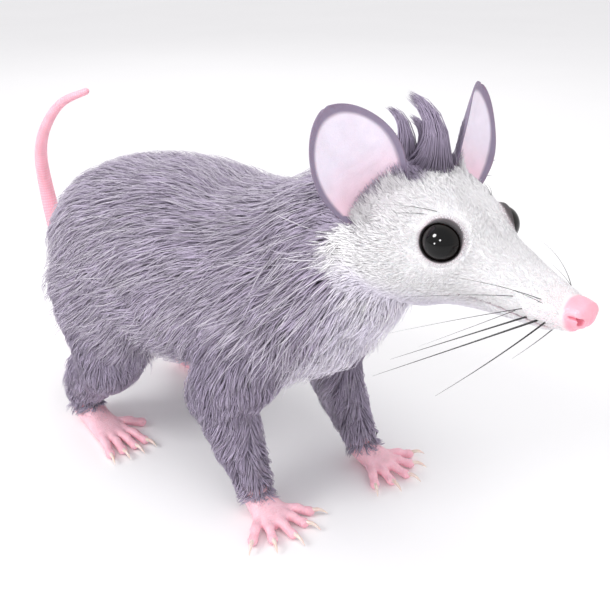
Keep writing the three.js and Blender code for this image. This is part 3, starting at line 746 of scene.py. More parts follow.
def tail_skin():
    """The tail with its rings of small scales."""
    per = 3
    rows = np.arange(TAIL_ROWS * per + 1)
    shares = 0.03 + 0.97 * (rows / rows[-1]) ** 0.94
    centre, ahead, side, up, size = tail.rings(shares)
    columns = np.arange(TAIL_COLUMNS * per)
    stagger = (rows // per % 2)[:, None] * 1.5
    angle = (columns + stagger) * 2 * np.pi / len(columns)
    row_rise = np.array([0.1, 1.0, 0.8])[rows % per][:, None]
    column_rise = np.array([0.25, 1.0, 1.0])[columns % per][None]
    scale = TAIL_SCALE * (2 * size[:, :1] / TAIL_THICKNESS) ** 1.6
    rounding = np.sqrt(1 - 0.96 * np.clip((shares - 0.99) / 0.01, 0, 1) ** 2)[:, None]
    radius = (size[:, :1] - 0.35 + scale * row_rise * column_rise) * rounding
    across = side[:, None] * (np.cos(angle) * radius)[..., None]
    loops = centre[:, None] + across + up[:, None] * (np.sin(angle) * radius)[..., None]
    tips = [centre[0] - ahead[0] * 3, centre[-1] + ahead[-1] * 0.15]
    quads, triangles = tube_faces(len(rows), len(columns))
    piece = make_mesh("tail_skin", np.vstack([loops.reshape(-1, 3), tips]), [quads, triangles])
    # Painted shade: a deeper pink in the grooves between the scales.
    groove_shade = np.append((1 - row_rise * column_rise).reshape(-1), [0, 0])[:, None]
    tint = tail_colour(places_of(piece))
    paint(piece, mix(tint, tint * DEEP_PINK_AND_SHADE, 0.55 * groove_shade))
    measure(piece, "Wet", np.zeros(len(tint)))
    return piece


def gathered(name, meshes):
    """One mesh object from several meshes of points, quads and triangles."""
    points, quads, triangles, used = [], [], [], 0
    for own_points, own_quads, own_triangles in meshes:
        points.append(own_points)
        quads.append(own_quads + used)
        triangles.append(own_triangles + used)
        used += len(own_points)
    return make_mesh(name, np.vstack(points), [np.vstack(quads), np.vstack(triangles)])


def joined(name, pieces):
    """One object from several."""
    with bpy.context.temp_override(active_object=pieces[0], selected_editable_objects=pieces):
        bpy.ops.object.join()
    pieces[0].name = name
    return pieces[0]


def limb_weights(points):
    """How much each limb owns each point, from 0 to 1."""
    names = list(fields)
    distances = np.stack([body_grid.sample(fields[name], points) for name in names])
    weights = np.exp(-(distances - distances.min(0)) / 5.0)
    return names, weights / weights.sum(0)


def leg_share(names, weights):
    return sum(weights[names.index(name)] for name in LEGS)


def coat_colour(points):
    """The markings and a painted shade under the jaw, the same for skin and coat: colours at places of the
    skin.
    """
    names, weights = limb_weights(points)
    jag = wobble(points, 9, 5) * 1.6 + wobble(points, 34, 6) * 2.5
    local = in_head(points)
    x, y, z = local.T
    top = smoothstep(150, 190, points[:, 2])[:, None]
    tint = mix(GREY, BACK_GREY, top * 0.6)
    tint = mix(tint, LEG_GREY, smoothstep(0.25, 0.8, leg_share(names, weights))[:, None])
    chest_front = smoothstep(46, 66, points[:, 0] + jag) * smoothstep(34, 22, np.abs(points[:, 1]) + jag)
    under = smoothstep(158, 140, points[:, 2] + 0.25 * (84 - points[:, 0]))
    tint = mix(tint, CHEST, (chest_front * under)[:, None])
    throat = smoothstep(8, 28, -z + jag) * smoothstep(-42, -20, x) * smoothstep(30, 20, np.abs(y) + jag)
    tint = mix(tint, THROAT_AND_JAW_SHADE, throat[:, None])
    face = smoothstep(21, 27, x + jag - 0.4 * np.maximum(z, 0))
    tint = mix(tint, WHITE, face[:, None])
    # Painted shade: a pale lilac band under the jaw and the lower cheeks of the white face.
    shade = smoothstep(-6, -26, z) * smoothstep(-10, 10, x)
    tint = mix(tint, THROAT_AND_JAW_SHADE, (face * shade * 0.8)[:, None])
    cap_edge = 47 - 0.012 * y**2
    cap = smoothstep(cap_edge + 3, cap_edge - 3, x + jag * 0.7) * smoothstep(13, 19, z + 0.5 * jag)
    temple = smoothstep(16, 20, np.abs(y) + 0.5 * jag) * smoothstep(26, 31, x + 0.5 * jag)
    cap = cap * (1 - temple)
    return mix(tint, CAP_GREY, cap[:, None])


def skin_colour(points):
    """Bare skin where it shows, with painted shade on the nose's underside and the feet's lowest parts, and
    a dark undercoat beneath the long fur.
    """
    x, y, z = in_head(points).T
    y = np.abs(y)
    tint = mix(UNDER_COAT, coat_colour(points) * 0.85, 0.7)
    in_face = smoothstep(20, 50, x)[:, None]
    face = mix(WHITE, FACE_SKIN, smoothstep(112, 130, x)[:, None])
    tint = mix(tint, face * 0.97, in_face)
    mouth = np.exp(-(((z - mouth_height(x)) / 0.8) ** 2)) * smoothstep(MOUTH_CORNER, MOUTH_CORNER + 20, x)
    tint = mix(tint, LIP, (mouth * smoothstep(40, 60, x))[:, None])
    far, angle, _ = eye_places(x, y, z)
    socket = smoothstep(EYE_RADIUS + 3.2, EYE_RADIUS + 1.6, far)
    tint = mix(tint, LIP, socket[:, None] * 0.55)
    rim = smoothstep(EYE_RADIUS + 1.6, EYE_RADIUS + 0.9, far) * smoothstep(1.6, 1.3, angle)
    tint = mix(tint, RIM, rim[:, None])
    pad = off_pad(x, y, z, (7.5, 9.6, 7.9))
    nose_pink = smoothstep(1.08, 0.96, pad) * smoothstep(127.5, 129.5, x + 0.25 * z)
    # Painted shade: the nose turns a deeper pink towards its underside.
    pink = mix(NOSE_PINK, DEEP_PINK_AND_SHADE, smoothstep(3, -5, z)[:, None] * 0.9)
    tint = mix(tint, pink, nose_pink[:, None])
    foot = smoothstep(23, 18, points[:, 2])
    # Painted shade: the feet turn a deeper pink towards the ground.
    tint = mix(tint, mix(PINK, DEEP_PINK_AND_SHADE, smoothstep(10, 1, points[:, 2])[:, None] * 0.45), foot[:, None])
    return tint, nose_pink


def tail_colour(points):
    share, _ = tail.locate(points)
    return mix(mix(DEEP_PINK_AND_SHADE, PINK, 0.45), PINK, smoothstep(0.05, 0.75, share)[:, None])


def tucked(places, v):
    """Draws the foot of an ear's leaf into the head."""
    local = in_head(places.reshape(-1, 3))
    slope = head_grid.slope(head_field, local)
    pull = np.maximum(head_grid.sample(head_field, local) + 1.5, 0) * smoothstep(0.27, 0.05, v.reshape(-1))
    return on_head(local - slope * pull[:, None]).reshape(places.shape)


def ear_surface(side, v, u):
    """The middle of an ear's leaf at a height v and a place u across, its rise and where it faces."""
    base = on_head(EAR * [1, side, 1])
    rise = unit(np.array([-0.2, side * 0.45, 0.87])) @ HEAD_TURN.T
    facing = unit(np.array([0.97, side * 0.24, 0])) @ HEAD_TURN.T
    across = unit(np.cross(rise, facing))
    outward = np.cross(across, rise)
    low_half = 0.52 + 0.48 * np.sin(np.pi / 2 * np.minimum(v / EAR_WIDEST, 1))
    high_half = np.sqrt(1 - 0.985 * np.clip((v - EAR_WIDEST) / (1 - EAR_WIDEST), 0, 1) ** 2)
    half = EAR_WIDTH / 2 * np.where(v < EAR_WIDEST, low_half, high_half)
    roll = u * (1.2 - 0.45 * v)
    curl = half / 0.92
    curve = (1 - np.cos(roll)) * curl * 0.62 - 3 * v**2
    v = v + 0 * u
    place = base + rise * (EAR_HEIGHT * (v - 0.12))[..., None]
    place = place + across * (np.sin(roll) * curl)[..., None] + outward * curve[..., None]
    return tucked(place, v), rise, outward


def ear_grid(side, rows=52, columns=44):
    """The two faces of an ear, and each point's height v and place across u."""
    v = np.sin(np.linspace(0, 1, rows + 1) * np.pi / 2)[:, None]
    u = np.linspace(-1, 1, columns + 1)[None]
    v, u = v + 0 * u, u + 0 * v
    middle, _, outward = ear_surface(side, v, u)
    rim = np.maximum(np.abs(u), smoothstep(0.86, 1.0, v))
    thick = mix(1.7, 0.7, v)
    folds = 0.16 * np.sin((v * 9 + 0.6 * np.cos(u * 2.2)) * 2 * np.pi) * (1 - rim**2)
    folds = folds * smoothstep(0.1, 0.3, v) * smoothstep(0.75, 0.5, v)
    veins = 0.12 * np.sin(u * 7 + 1.6 * v) * smoothstep(0.35, 0.6, v) * (1 - rim**4)
    edge = 0.35 * smoothstep(0.8, 1.0, rim) * np.sin(v * 9 + u * 4)
    faces = [middle + outward * (sign * thick / 2 + folds + veins + edge)[..., None] for sign in (1, -1)]
    return faces, v, u


def make_ear(word):
    side = SIDES[word]
    (front, back), v, u = ear_grid(side)
    rows, columns = front.shape[0] - 1, front.shape[1] - 1
    index = np.arange((rows + 1) * (columns + 1)).reshape(rows + 1, columns + 1)
    sheet = np.stack([index[:-1, :-1], index[:-1, 1:], index[1:, 1:], index[1:, :-1]], -1).reshape(-1, 4)
    rim = np.concatenate([index[0, :-1], index[:-1, -1], index[-1, :0:-1], index[:0:-1, 0]])
    following = np.roll(rim, -1)
    edge = np.stack([rim, rim + index.size, following + index.size, following], -1)
    points = np.vstack([front.reshape(-1, 3), back.reshape(-1, 3)])
    faces = [sheet, sheet[:, ::-1] + index.size, edge]
    if side < 0:
        faces = [part[:, ::-1] for part in faces]
    piece = make_mesh("ear_" + word + "_skin", points, faces)
    v, u = v.reshape(-1), u.reshape(-1)
    high = np.clip((v - EAR_WIDEST) / (1 - EAR_WIDEST), 0, 1)
    border = smoothstep(0.76, 0.86, np.sqrt(high**2 + u**2 * (1 - 0.985 * high**2)))
    inside = mix(EAR_INSIDE, EAR_FLUSH, (smoothstep(0.65, 0.1, v) * 0.85)[:, None])
    inside = mix(inside, EAR_OUTSIDE, border[:, None])
    outside = np.repeat(EAR_OUTSIDE[None], len(v), 0)
    paint(piece, np.vstack([inside, outside]))
    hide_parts("ear_" + word)
    return piece


def make_eye(word):
    side = SIDES[word]
    centre = on_head(EYE * [1, side, 1])
    bpy.ops.mesh.primitive_uv_sphere_add(segments=64, ring_count=40, radius=1)
    piece = bpy.context.object
    piece.name = "eye_" + word + "_ball"
    looks = unit(EYE_LOOKS * [1, side, 1]) @ HEAD_TURN.T
    turn = np.array(Vector((0, 0, 1)).rotation_difference(Vector(looks)).to_matrix())
    points = np.array([v.co for v in piece.data.vertices])
    bulge = 1 + 0.035 * smoothstep(0.55, 0.95, points[:, 2])
    placed = (points * bulge[:, None] * EYE_RADIUS) @ turn.T + centre
    piece.data.vertices.foreach_set("co", ((placed + SHIFT) * MM).astype(np.float32).reshape(-1))
    piece.data.polygons.foreach_set("use_smooth", np.full(len(piece.data.polygons), True))
    measure(piece, "Pupil", smoothstep(0.70, 0.76, points[:, 2]))
    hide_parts("eye_" + word)
    return piece


class Coat:
    """Gathers tufts, and makes them into pieces of solid mesh."""

    def __init__(self):
        self.made = []

    def drape(self, grid, field, roots, lie, length, lift, steps, yaw):
        """Paths of hairs that leave the skin and bend over to lie along it, and the way out of it."""
        outs = [grid.slope(field, roots)]
        here = roots - outs[0] * 0.5
        path = [here]
        stride = length / steps
        for k in range(steps):
            out = outs[-1]
            along = unit(lie - out * (lie * out).sum(-1, keepdims=True))
            along = along * np.cos(yaw)[:, None] + np.cross(out, along) * np.sin(yaw)[:, None]
            wanted = lift * (1 - (1 - (k + 1) / steps) ** 2)
            climb = np.clip((wanted - grid.sample(field, here)) / stride, -0.6, 1.7)
            here = here + unit(along + out * climb[:, None]) * stride[:, None]
            path.append(here)
            outs.append(grid.slope(field, here))
        return np.stack(path, 1), np.stack(outs, 1)

    def clumped(self, path, share, strength, reach, rng):
        """Draws the tips of neighbours together."""
        leaders = rng.choice(len(path), max(1, int(len(path) * share)), replace=False)
        tree = KDTree(len(leaders))
        for i, leader in enumerate(leaders):
            tree.insert(path[leader, 0], i)
        tree.balance()
        found = [tree.find(root) for root in path[:, 0]]
        nearest = leaders[np.array([hit[1] for hit in found])]
        near = smoothstep(reach, reach * 0.6, np.array([hit[2] for hit in found]))
        steps = np.linspace(0, 1, path.shape[1])[None] ** 1.4
        pull = (near * strength * rng.uniform(0.5, 1.0, len(path)))[:, None] * steps
        return path + (path[nearest] - path) * pull[..., None]

    def tufts(self, name, path, outs, width, colours, places, slot, thick=0.4):
        """Blades along paths, with colours at root, middle and tip, and places on the skin's unwrap.

        They are thick in shares of their width.
        """
        count, rings = path.shape[0], path.shape[1] - 1
        ahead = unit(np.gradient(path, axis=1))
        side = unit(np.cross(ahead, outs))
        up = np.cross(side, ahead)
        share = np.linspace(0, 1, rings + 1)
        broad = (0.75 + 1.6 * share) * (1 - share) ** 0.62
        broad = broad / broad.max()
        half = (width[:, None] / 2 * broad[None, :-1])[..., None]
        rise = ((thick * width)[:, None] * broad[None, :-1])[..., None]
        centre = path[:, :-1]
        corners = np.stack(
            [centre - side[:, :-1] * half, centre + side[:, :-1] * half, centre + up[:, :-1] * rise], 2
        )
        points = np.concatenate([corners.reshape(count, -1, 3), path[:, -1:]], 1)
        each = 3 * rings + 1
        faces = [[0, 1, 2]]
        for ring in range(rings - 1):
            for k in range(3):
                a, b = ring * 3 + k, ring * 3 + (k + 1) % 3
                faces += [[a, b + 3, b], [a, a + 3, b + 3]]
        last = (rings - 1) * 3
        faces += [[last + k, each - 1, last + (k + 1) % 3] for k in range(3)]
        faces = (np.array(faces)[None] + (np.arange(count) * each)[:, None, None]).reshape(-1, 3)
        piece = make_mesh(name, points.reshape(-1, 3), [faces])
        along = np.append(np.repeat(share[:-1], 3), 1.0)
        root, middle, tip = (part[:, None] for part in colours)
        early = smoothstep(0.0, 0.5, along)[None, :, None]
        late = smoothstep(0.5, 1.0, along)[None, :, None]
        paint(piece, mix(mix(root, middle, early), tip, late).reshape(-1, 3))
        self.unwrap(piece, places, along, each, faces)
        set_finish(piece, slot)
        self.made.append(piece)

    def unwrap(self, piece, places, along, each, faces):
        """Each tuft is a small patch at its root's place."""
        patch = 0.003
        around = np.append(np.tile([0.0, 1.0, 0.5], each // 3), 0.5)
        uv = places[:, None] + np.stack([around - 0.5, along - 0.5], -1)[None] * patch
        layer = piece.data.uv_layers.new(name="OFBake")
        layer.data.foreach_set("uv", uv.reshape(-1, 2)[faces.reshape(-1)].astype(np.float32).reshape(-1))


def scattered(points, quads, density, rng):
    """Random places on faces, spread evenly, with a density in places for each square millimetre."""
    a, b, c, d = (points[quads[:, k]] for k in range(4))
    area = np.linalg.norm(np.cross(c - a, d - b), axis=1) / 2
    expected = density((a + c) / 2) * area
    count = np.floor(expected + rng.random(len(expected))).astype(int)
    chosen = np.repeat(np.arange(len(quads)), count)
    s, t = rng.random((2, len(chosen), 1))
    return (a[chosen] * (1 - s) + b[chosen] * s) * (1 - t) + (d[chosen] * (1 - s) + c[chosen] * s) * t


def lie_of_coat(names, weights, outs):
    """Which way the long coat lies."""
    down = np.abs(outs[:, 1:2])
    lies = {
        "trunk": np.array([-1, 0, -0.3]) - UP * 0.5 * down,
        "neck": np.array([-0.76, 0.08, -0.5]) - UP * 0.35 * down,
        "head": np.array([-1.0, 0.15, -0.15]) + 0 * down,
        "tail": np.array([-1.0, 0.1, -0.6]) + 0 * down,
    }
    leg_lie = np.array([-0.35, 0, -1.0]) + 0 * down
    return sum(weights[i][:, None] * unit(lies.get(name, leg_lie)) for i, name in enumerate(names))


def unwrapped(limb, points):
    share, angle = limb.locate(points)
    return np.stack([0.02 + 0.96 * share, 0.02 + 0.96 * (angle / (2 * np.pi) + 0.5)], -1)


def spread_out(places):
    """Stretches a region of an unwrap over the whole map."""
    low, high = places.min(0), places.max(0)
    return 0.01 + 0.98 * (places - low) / np.maximum(high - low, 1e-6)


def long_coat(coat, points, quads, inside):
    rng = np.random.default_rng(7)

    def density(middle):
        names, weights = limb_weights(middle)
        tail_part = weights[names.index("tail")]
        legs = leg_share(names, weights)
        wanted = mix(0.34, 0.42, legs) * (1 - smoothstep(0.5, 0.95, tail_part))
        return np.where(inside(middle), wanted, 0)

    roots = scattered(points, quads, density, rng)
    names, weights = limb_weights(roots)
    outs = body_grid.slope(body_field, roots)
    legs = leg_share(names, weights)
    low_leg = smoothstep(75, 24, roots[:, 2]) * legs
    rear_edge = smoothstep(0.3, 0.8, -outs[:, 0]) * legs
    belly = smoothstep(0.1, 0.8, -outs[:, 2]) * (1 - legs)
    length = mix(38, 22, legs) * (1 - 0.38 * low_leg) * (1 + 0.3 * rear_edge)
    length = length * (1 - 0.25 * weights[names.index("neck")]) * (1 - 0.3 * belly)
    on_skull = weights[names.index("head")]
    length = length * (1 - 0.6 * weights[names.index("tail")]) * (1 - 0.4 * on_skull)
    length = length * rng.uniform(0.72, 1.2, len(roots))
    lift = mix(7.2, 4.2, legs) * (1 - 0.25 * low_leg) * (1 + 0.9 * rear_edge)
    lift = lift * rng.uniform(0.45, 1.25, len(roots)) * (1 + 0.22 * wobble(roots, 26, 3))
    lift = np.minimum(lift, 10.5) * (1 - 0.35 * on_skull)
    yaw = 0.16 * rng.normal(size=len(roots)) + 0.26 * wobble(roots, 44, 8)
    lie = lie_of_coat(names, weights, outs)
    path, away = coat.drape(body_grid, body_field, roots, lie, length, lift, 3, yaw)
    path = coat.clumped(path, 0.09, 0.75, 9, rng)
    path[..., 2] = np.maximum(path[..., 2], 0.6)
    tint = coat_colour(roots)
    bright = (1 + 0.09 * rng.normal(size=len(roots)) + 0.07 * wobble(roots, 16, 9))[:, None]
    pale = (rng.random(len(roots)) < 0.3)[:, None]
    dusk = mix(0.92, 0.66, smoothstep(0.75, 0.5, tint.mean(1)))[:, None]
    colours = (
        tint * dusk * bright,
        np.clip(tint * bright, 0, 1),
        np.clip(np.where(pale, mix(tint * bright, WHITE, 0.3), tint * 1.02 * bright), 0, 1),
    )
    width = mix(1.05, 0.75, legs) * rng.uniform(0.7, 1.25, len(roots))
    owner = np.array(names)[np.argmax(weights, axis=0)]
    groups = {}
    share, _ = trunk.locate(roots)
    on_trunk = np.isin(owner, ["trunk", "tail"])
    on_neck = np.isin(owner, ["neck", "head"])
    ends = {"rear": (0, 0.36), "middle": (0.36, 0.7), "front": (0.7, 1.1)}
    for half, on_half in (("left", roots[:, 1] >= 0), ("right", roots[:, 1] < 0)):
        for end, (start, stop) in ends.items():
            members = on_trunk & on_half & (share >= start) & (share < stop)
            groups[f"coat_{end}_{half}"] = (trunk, members, "coat")
        groups[f"coat_neck_{half}"] = (neck, on_neck & on_half, "coat")
    for name, limb in LEGS.items():
        groups["coat_" + name] = (limb, owner == name, "leg_fur")
    for name, (limb, members, slot) in groups.items():
        places = spread_out(unwrapped(limb, roots[members]))
        part = [c[members] for c in colours]
        coat.tufts(name, path[members], away[members], width[members], part, places, slot)


def guard_hairs(coat, points, quads, inside):
    """Long pale hairs that stand out through the coat."""
    rng = np.random.default_rng(19)

    def density(middle):
        names, weights = limb_weights(middle)
        body = 1 - leg_share(names, weights) - weights[names.index("tail")]
        return np.where(inside(middle), 0.07 * smoothstep(0.4, 0.9, body), 0)

    roots = scattered(points, quads, density, rng)
    names, weights = limb_weights(roots)
    outs = body_grid.slope(body_field, roots)
    length = rng.uniform(40, 54, len(roots)) * (1 - 0.35 * smoothstep(0, 0.8, -outs[:, 2]))
    lift = rng.uniform(7.5, 11, len(roots))
    yaw = 0.2 * rng.normal(size=len(roots)) + 0.26 * wobble(roots, 44, 8)
    lie = lie_of_coat(names, weights, outs)
    path, away = coat.drape(body_grid, body_field, roots, lie, length, lift, 4, yaw)
    path = coat.clumped(path, 0.2, 0.4, 12, rng)
    tint = coat_colour(roots)
    pale = mix(tint, WHITE, rng.uniform(0.05, 0.5, len(roots))[:, None])
    width = rng.uniform(0.4, 0.6, len(roots))
    places = spread_out(unwrapped(trunk, roots))
    coat.tufts("coat_guard_hairs", path, away, width, (tint * 0.6, pale, pale), places, "coat", 0.5)


def face_length(x, y, z):
    """How long the fur of the head is."""
    length = mix(1.9, 4.2, smoothstep(118, 78, x))
    length = mix(length, 6.5, smoothstep(70, 40, x))
    ruff = smoothstep(42, 22, x) * smoothstep(12, 0, z)
    length = mix(length, 18, ruff)
    crown = smoothstep(46, 20, x) * smoothstep(14, 24, z)
    length = mix(length, 11, crown)
    ear = np.sqrt((x - 31) ** 2 + (y - 27) ** 2 + (z - 19) ** 2)
    return mix(length, 4.5, smoothstep(19, 13, ear))


def face_coat(coat, points, quads):
    rng = np.random.default_rng(23)

    def density(middle):
        x, y, z = middle.T
        y = np.abs(y)
        far, _, _ = eye_places(x, y, z)
        clear_of_eye = 1 - smoothstep(EYE_RADIUS + 1.5, EYE_RADIUS + LID, far)
        pad = off_pad(x, y, z, (8.2, 10.2, 8.6))
        line = np.abs(z - mouth_height(x))
        off_lips = 1 - smoothstep(1.1, 0.6, line) * smoothstep(MOUTH_CORNER + 4, MOUTH_CORNER + 14, x)
        finer = 1 + 1.2 * smoothstep(EYE_RADIUS + 8, EYE_RADIUS + 2, far)
        wanted = mix(mix(3.2, 1.8, smoothstep(112, 60, x)) * finer, 1.05, smoothstep(40, 15, x))
        return wanted * clear_of_eye * (pad > 1) * off_lips

    roots = scattered(points, quads, density, rng)
    x, y, z = roots.T
    across = np.abs(y)
    side = np.sign(y)
    lie = np.stack([-np.ones(len(x)), 0 * x, -0.12 + 0 * x], -1)
    eye = EYE * np.stack([np.ones(len(x)), side, np.ones(len(x))], -1)
    from_eye = roots - eye
    lie += 2.2 * unit(from_eye) * np.exp(-((np.linalg.norm(from_eye, axis=1) / 15) ** 2))[:, None]
    cheek = smoothstep(40, 15, x) * smoothstep(10, -5, z)
    lie[:, 2] -= 0.55 * cheek
    lie[:, 1] += side * 0.35 * cheek
    near_eye = smoothstep(EYE_RADIUS + 8, EYE_RADIUS + 2, np.linalg.norm(from_eye, axis=1))
    length = face_length(x, across, z) * rng.uniform(0.75, 1.2, len(x)) * (1 - 0.6 * near_eye)
    lift = length * mix(0.26, 0.42, smoothstep(45, 15, x)) * rng.uniform(0.5, 1.3, len(x))
    lift = lift * (1 - 0.3 * smoothstep(12, 22, z))
    yaw = 0.2 * rng.normal(size=len(x)) + 0.2 * wobble(roots, 22, 12)
    short = length < 8
    tint = coat_colour(on_head(roots))
    bright = (1 + 0.05 * rng.normal(size=len(x)))[:, None]
    dusk = mix(0.97, 0.7, smoothstep(0.7, 0.4, tint.mean(1)))[:, None]
    colours = (tint * dusk, np.clip(tint * bright, 0, 1), np.clip(tint * 1.04 * bright, 0, 1))
    width = np.clip(0.08 * length, 0.3, 0.85) * rng.uniform(0.8, 1.2, len(x))
    for name, members, steps, share in (
        ("face_fur_left", short & (y >= 0), 2, 0.16),
        ("face_fur_right", short & (y < 0), 2, 0.16),
        ("face_ruff", ~short, 3, 0.1),
    ):
        hairs = (values[members] for values in (roots, lie, length, lift))
        path, away = coat.drape(head_grid, head_field, *hairs, steps, yaw[members])
        path = coat.clumped(path, share, 0.6, 4 if steps == 2 else 8, rng)
        places = spread_out(unwrapped(skull, roots[members]))
        part = [c[members] for c in colours]
        path, away = on_head(path), away @ HEAD_TURN.T
        coat.tufts(name, path, away, width[members], part, places, "face_fur")


CROWN_CURL = np.array([[0, 0, 0], [2, 0.5, 11], [-1, 1.2, 21], [-10, 2.2, 27.5], [-22, 3, 29.5]])
CROWN_CURLS = [((34, 3, 30), 1.0, 520), ((22, -3, 31), 0.72, 330), ((24, 9, 30), 0.6, 260)]


def rooted(path):
    """Paths on the head, bent near their starts so that they grow out of its skin."""
    root, _ = dropped(path[:, 0], -0.6)
    fade = (1 - np.linspace(0, 1, path.shape[1])) ** 3
    return path + (root - path[:, 0])[:, None] * fade[None, :, None]


def crown_tuft(coat):
    """The upswept curls between the ears."""
    rng = np.random.default_rng(29)
    paths, outs = [], []
    share = np.linspace(0, 1, 6)
    for place, size, count in CROWN_CURLS:
        curl = spline(CROWN_CURL * size, share)
        ahead = unit(np.gradient(curl, axis=0))
        angle = rng.uniform(0, 2 * np.pi, count)
        reach = 7.5 * size * np.sqrt(rng.random(count))
        aside = np.stack([np.cos(angle) * reach, np.sin(angle) * reach], -1)
        ends = rng.uniform(0.5, 1.0, count) ** 0.8
        side = unit(np.cross(ahead, np.array([0.1, 1.0, 0.0])))
        across = np.cross(side, ahead)
        shrink = (1 - share) ** 0.8 * 0.9 + 0.1 + 0.8 * (1 - share) ** 4
        own = np.stack([spline(curl, share * end) for end in ends])
        spread = (aside[:, None] * shrink[None, :, None])[..., None]
        own += side * spread[:, :, 0] + across * spread[:, :, 1]
        stray = rng.normal(size=(count, 1, 3)) * size
        own += np.array(place, float) + stray * 0.9 * share[None, :, None] ** 1.5
        paths.append(rooted(own))
        outs.append(np.repeat(-side[None], count, 0))
    path, away = on_head(np.vstack(paths)), unit(np.vstack(outs) @ HEAD_TURN.T)
    bright = 1 + 0.12 * rng.normal(size=(len(path), 1))
    tint = np.repeat(CAP_GREY[None], len(path), 0) * bright
    width = rng.uniform(0.5, 0.8, len(path))
    places = spread_out(unwrapped(skull, in_head(path[:, 0])))
    coat.tufts("crown_tuft", path, away, width, (tint * 0.7, tint, tint * 1.12), places, "coat")


def ear_foot(side, u):
    """The height at which an ear's leaf comes out of the head, at places across it."""
    heights = np.linspace(0, 0.4, 21)
    v, across = np.meshgrid(heights, u)
    place, _, _ = ear_surface(side, v, across)
    depth = head_grid.sample(head_field, in_head(place.reshape(-1, 3))).reshape(v.shape)
    steps_in = np.cumprod(depth < 0, axis=1).sum(1)
    return heights[np.minimum(steps_in, len(heights) - 1)]


def ear_back_fur(side, rng, steps):
    """Short grey fur up the back of an ear."""
    count, top = 1100, 0.55
    v = 0.04 + (top - 0.04) * rng.random(count) ** 1.5
    u = rng.uniform(-1, 1, count)
    length = 5.5 * rng.uniform(0.6, 1.1, count) * (1 - 0.4 * v / top)
    _, _, outward = ear_surface(side, v, u)
    climb = v[:, None] + length[:, None] * steps / EAR_HEIGHT
    across = u[:, None] + rng.normal(size=(count, 1)) * 0.12 * steps
    place, _, _ = ear_surface(side, climb, across)
    lift = 0.5 + 0.2 * length[:, None] * steps**1.5
    path = place - outward * lift[..., None]
    return path, np.broadcast_to(-outward, path.shape), np.repeat(CAP_GREY[None], count, 0)


def ear_fringe(side, sign, rng, steps):
    """Soft fur of the head round the foot of an ear, which leans on the leaf more the nearer it grows."""
    count = 1300
    u = rng.uniform(-1, 1, count)
    place, rise, outward = ear_surface(side, ear_foot(side, u), u)
    share_out = rng.random(count) ** 1.3
    place = place + outward * (sign * mix(0.3, 8.5, share_out))[:, None] + 0.9 * rng.normal(size=(count, 3))
    local, slope = dropped(in_head(place), -0.3)
    normal = slope @ HEAD_TURN.T
    backward = HEAD_TURN @ np.array([-1.0, 0, 0.1])
    leaning = unit(rise * 0.85 + normal * 0.5 + 0.3 * rng.normal(size=(count, 3)))
    lying = unit(backward * sign + normal * 0.45 + rise * 0.35 + 0.22 * rng.normal(size=(count, 3)))
    lean = unit(mix(leaning, lying, share_out[:, None] ** 0.7))
    length = mix(8.5, 6.0, share_out) * rng.uniform(0.5, 1.15, count) * mix(0.6, 1.0, np.abs(u) ** 1.5)
    bend = unit(rise + backward * sign * 0.5) * 0.3
    along = steps[None, :, None]
    path = on_head(local)[:, None] + (lean[:, None] * along + bend * along**2) * length[:, None, None]
    return path, np.broadcast_to(normal[:, None], path.shape), coat_colour(on_head(local))


def ear_tufts(coat):
    rng = np.random.default_rng(37)
    steps = np.linspace(0, 1, 4)
    made = []
    for side in (1, -1):
        made.append(ear_back_fur(side, rng, steps))
        made += [ear_fringe(side, sign, rng, steps) for sign in (1, -1)]
    path, away, tint = (np.concatenate(parts) for parts in zip(*made))
    width = rng.uniform(0.26, 0.42, len(path))
    places = spread_out(unwrapped(skull, in_head(path[:, 0])))
    colours = (tint * 0.85, tint, tint)
    coat.tufts("ear_fur", path, away, width, colours, places, "face_fur")


def foot_fur(coat, feet):
    """Sparse short hairs over the back of each foot."""
    rng = np.random.default_rng(43)
    paths, aways, corners = [], [], []
    for k, (grid, shape, points, quads, palm) in enumerate(feet):

        def density(middle):
            up = grid.slope(shape, middle)[:, 2]
            return mix(0.3, 1.1, smoothstep(7, 20, middle[:, 2])) * smoothstep(0.0, 0.5, up + 0.3)

        roots = scattered(points, quads, density, rng)
        high = smoothstep(8, 21, roots[:, 2])
        length = mix(1.7, 4.2, high) * rng.uniform(0.7, 1.2, len(roots))
        lie = np.array([1.0, 0, -0.5]) + 0.25 * rng.normal(size=(len(roots), 3))
        yaw = 0.25 * rng.normal(size=len(roots))
        path, away = coat.drape(grid, shape, roots, lie, length, 0.28 * length, 2, yaw)
        path[..., 2] = np.maximum(path[..., 2], 0.3)
        paths.append(path)
        aways.append(away)
        corners.append((np.array([k % 2, k // 2]) + spread_out(unwrapped(palm, roots))) / 2)
    path, away, places = (np.concatenate(parts) for parts in (paths, aways, corners))
    width = rng.uniform(0.2, 0.3, len(path))
    high = smoothstep(11, 15, path[:, :1, 2].mean(1) + 1.5 * rng.normal(size=len(path)))[:, None]
    tint = mix(mix(PINK, WHITE, 0.45), LEG_GREY, high)
    coat.tufts("foot_fur", path, away, width, (tint * 0.95, tint, tint), places, "leg_fur")


def tube(path, radius, sides=6):
    """A tapered tube, such as a whisker."""
    ahead = unit(np.gradient(path, axis=0))
    side = unit(np.cross(ahead, UP + 0.01))
    up = np.cross(side, ahead)
    angle = np.arange(sides) * 2 * np.pi / sides
    ring = side[:, None] * np.cos(angle)[None, :, None] + up[:, None] * np.sin(angle)[None, :, None]
    loops = path[:, None] + ring * radius[:, None, None]
    tips = [path[0] - ahead[0] * radius[0], path[-1] + ahead[-1] * radius[-1]]
    return np.vstack([loops.reshape(-1, 3), tips]), *tube_faces(len(path), sides)


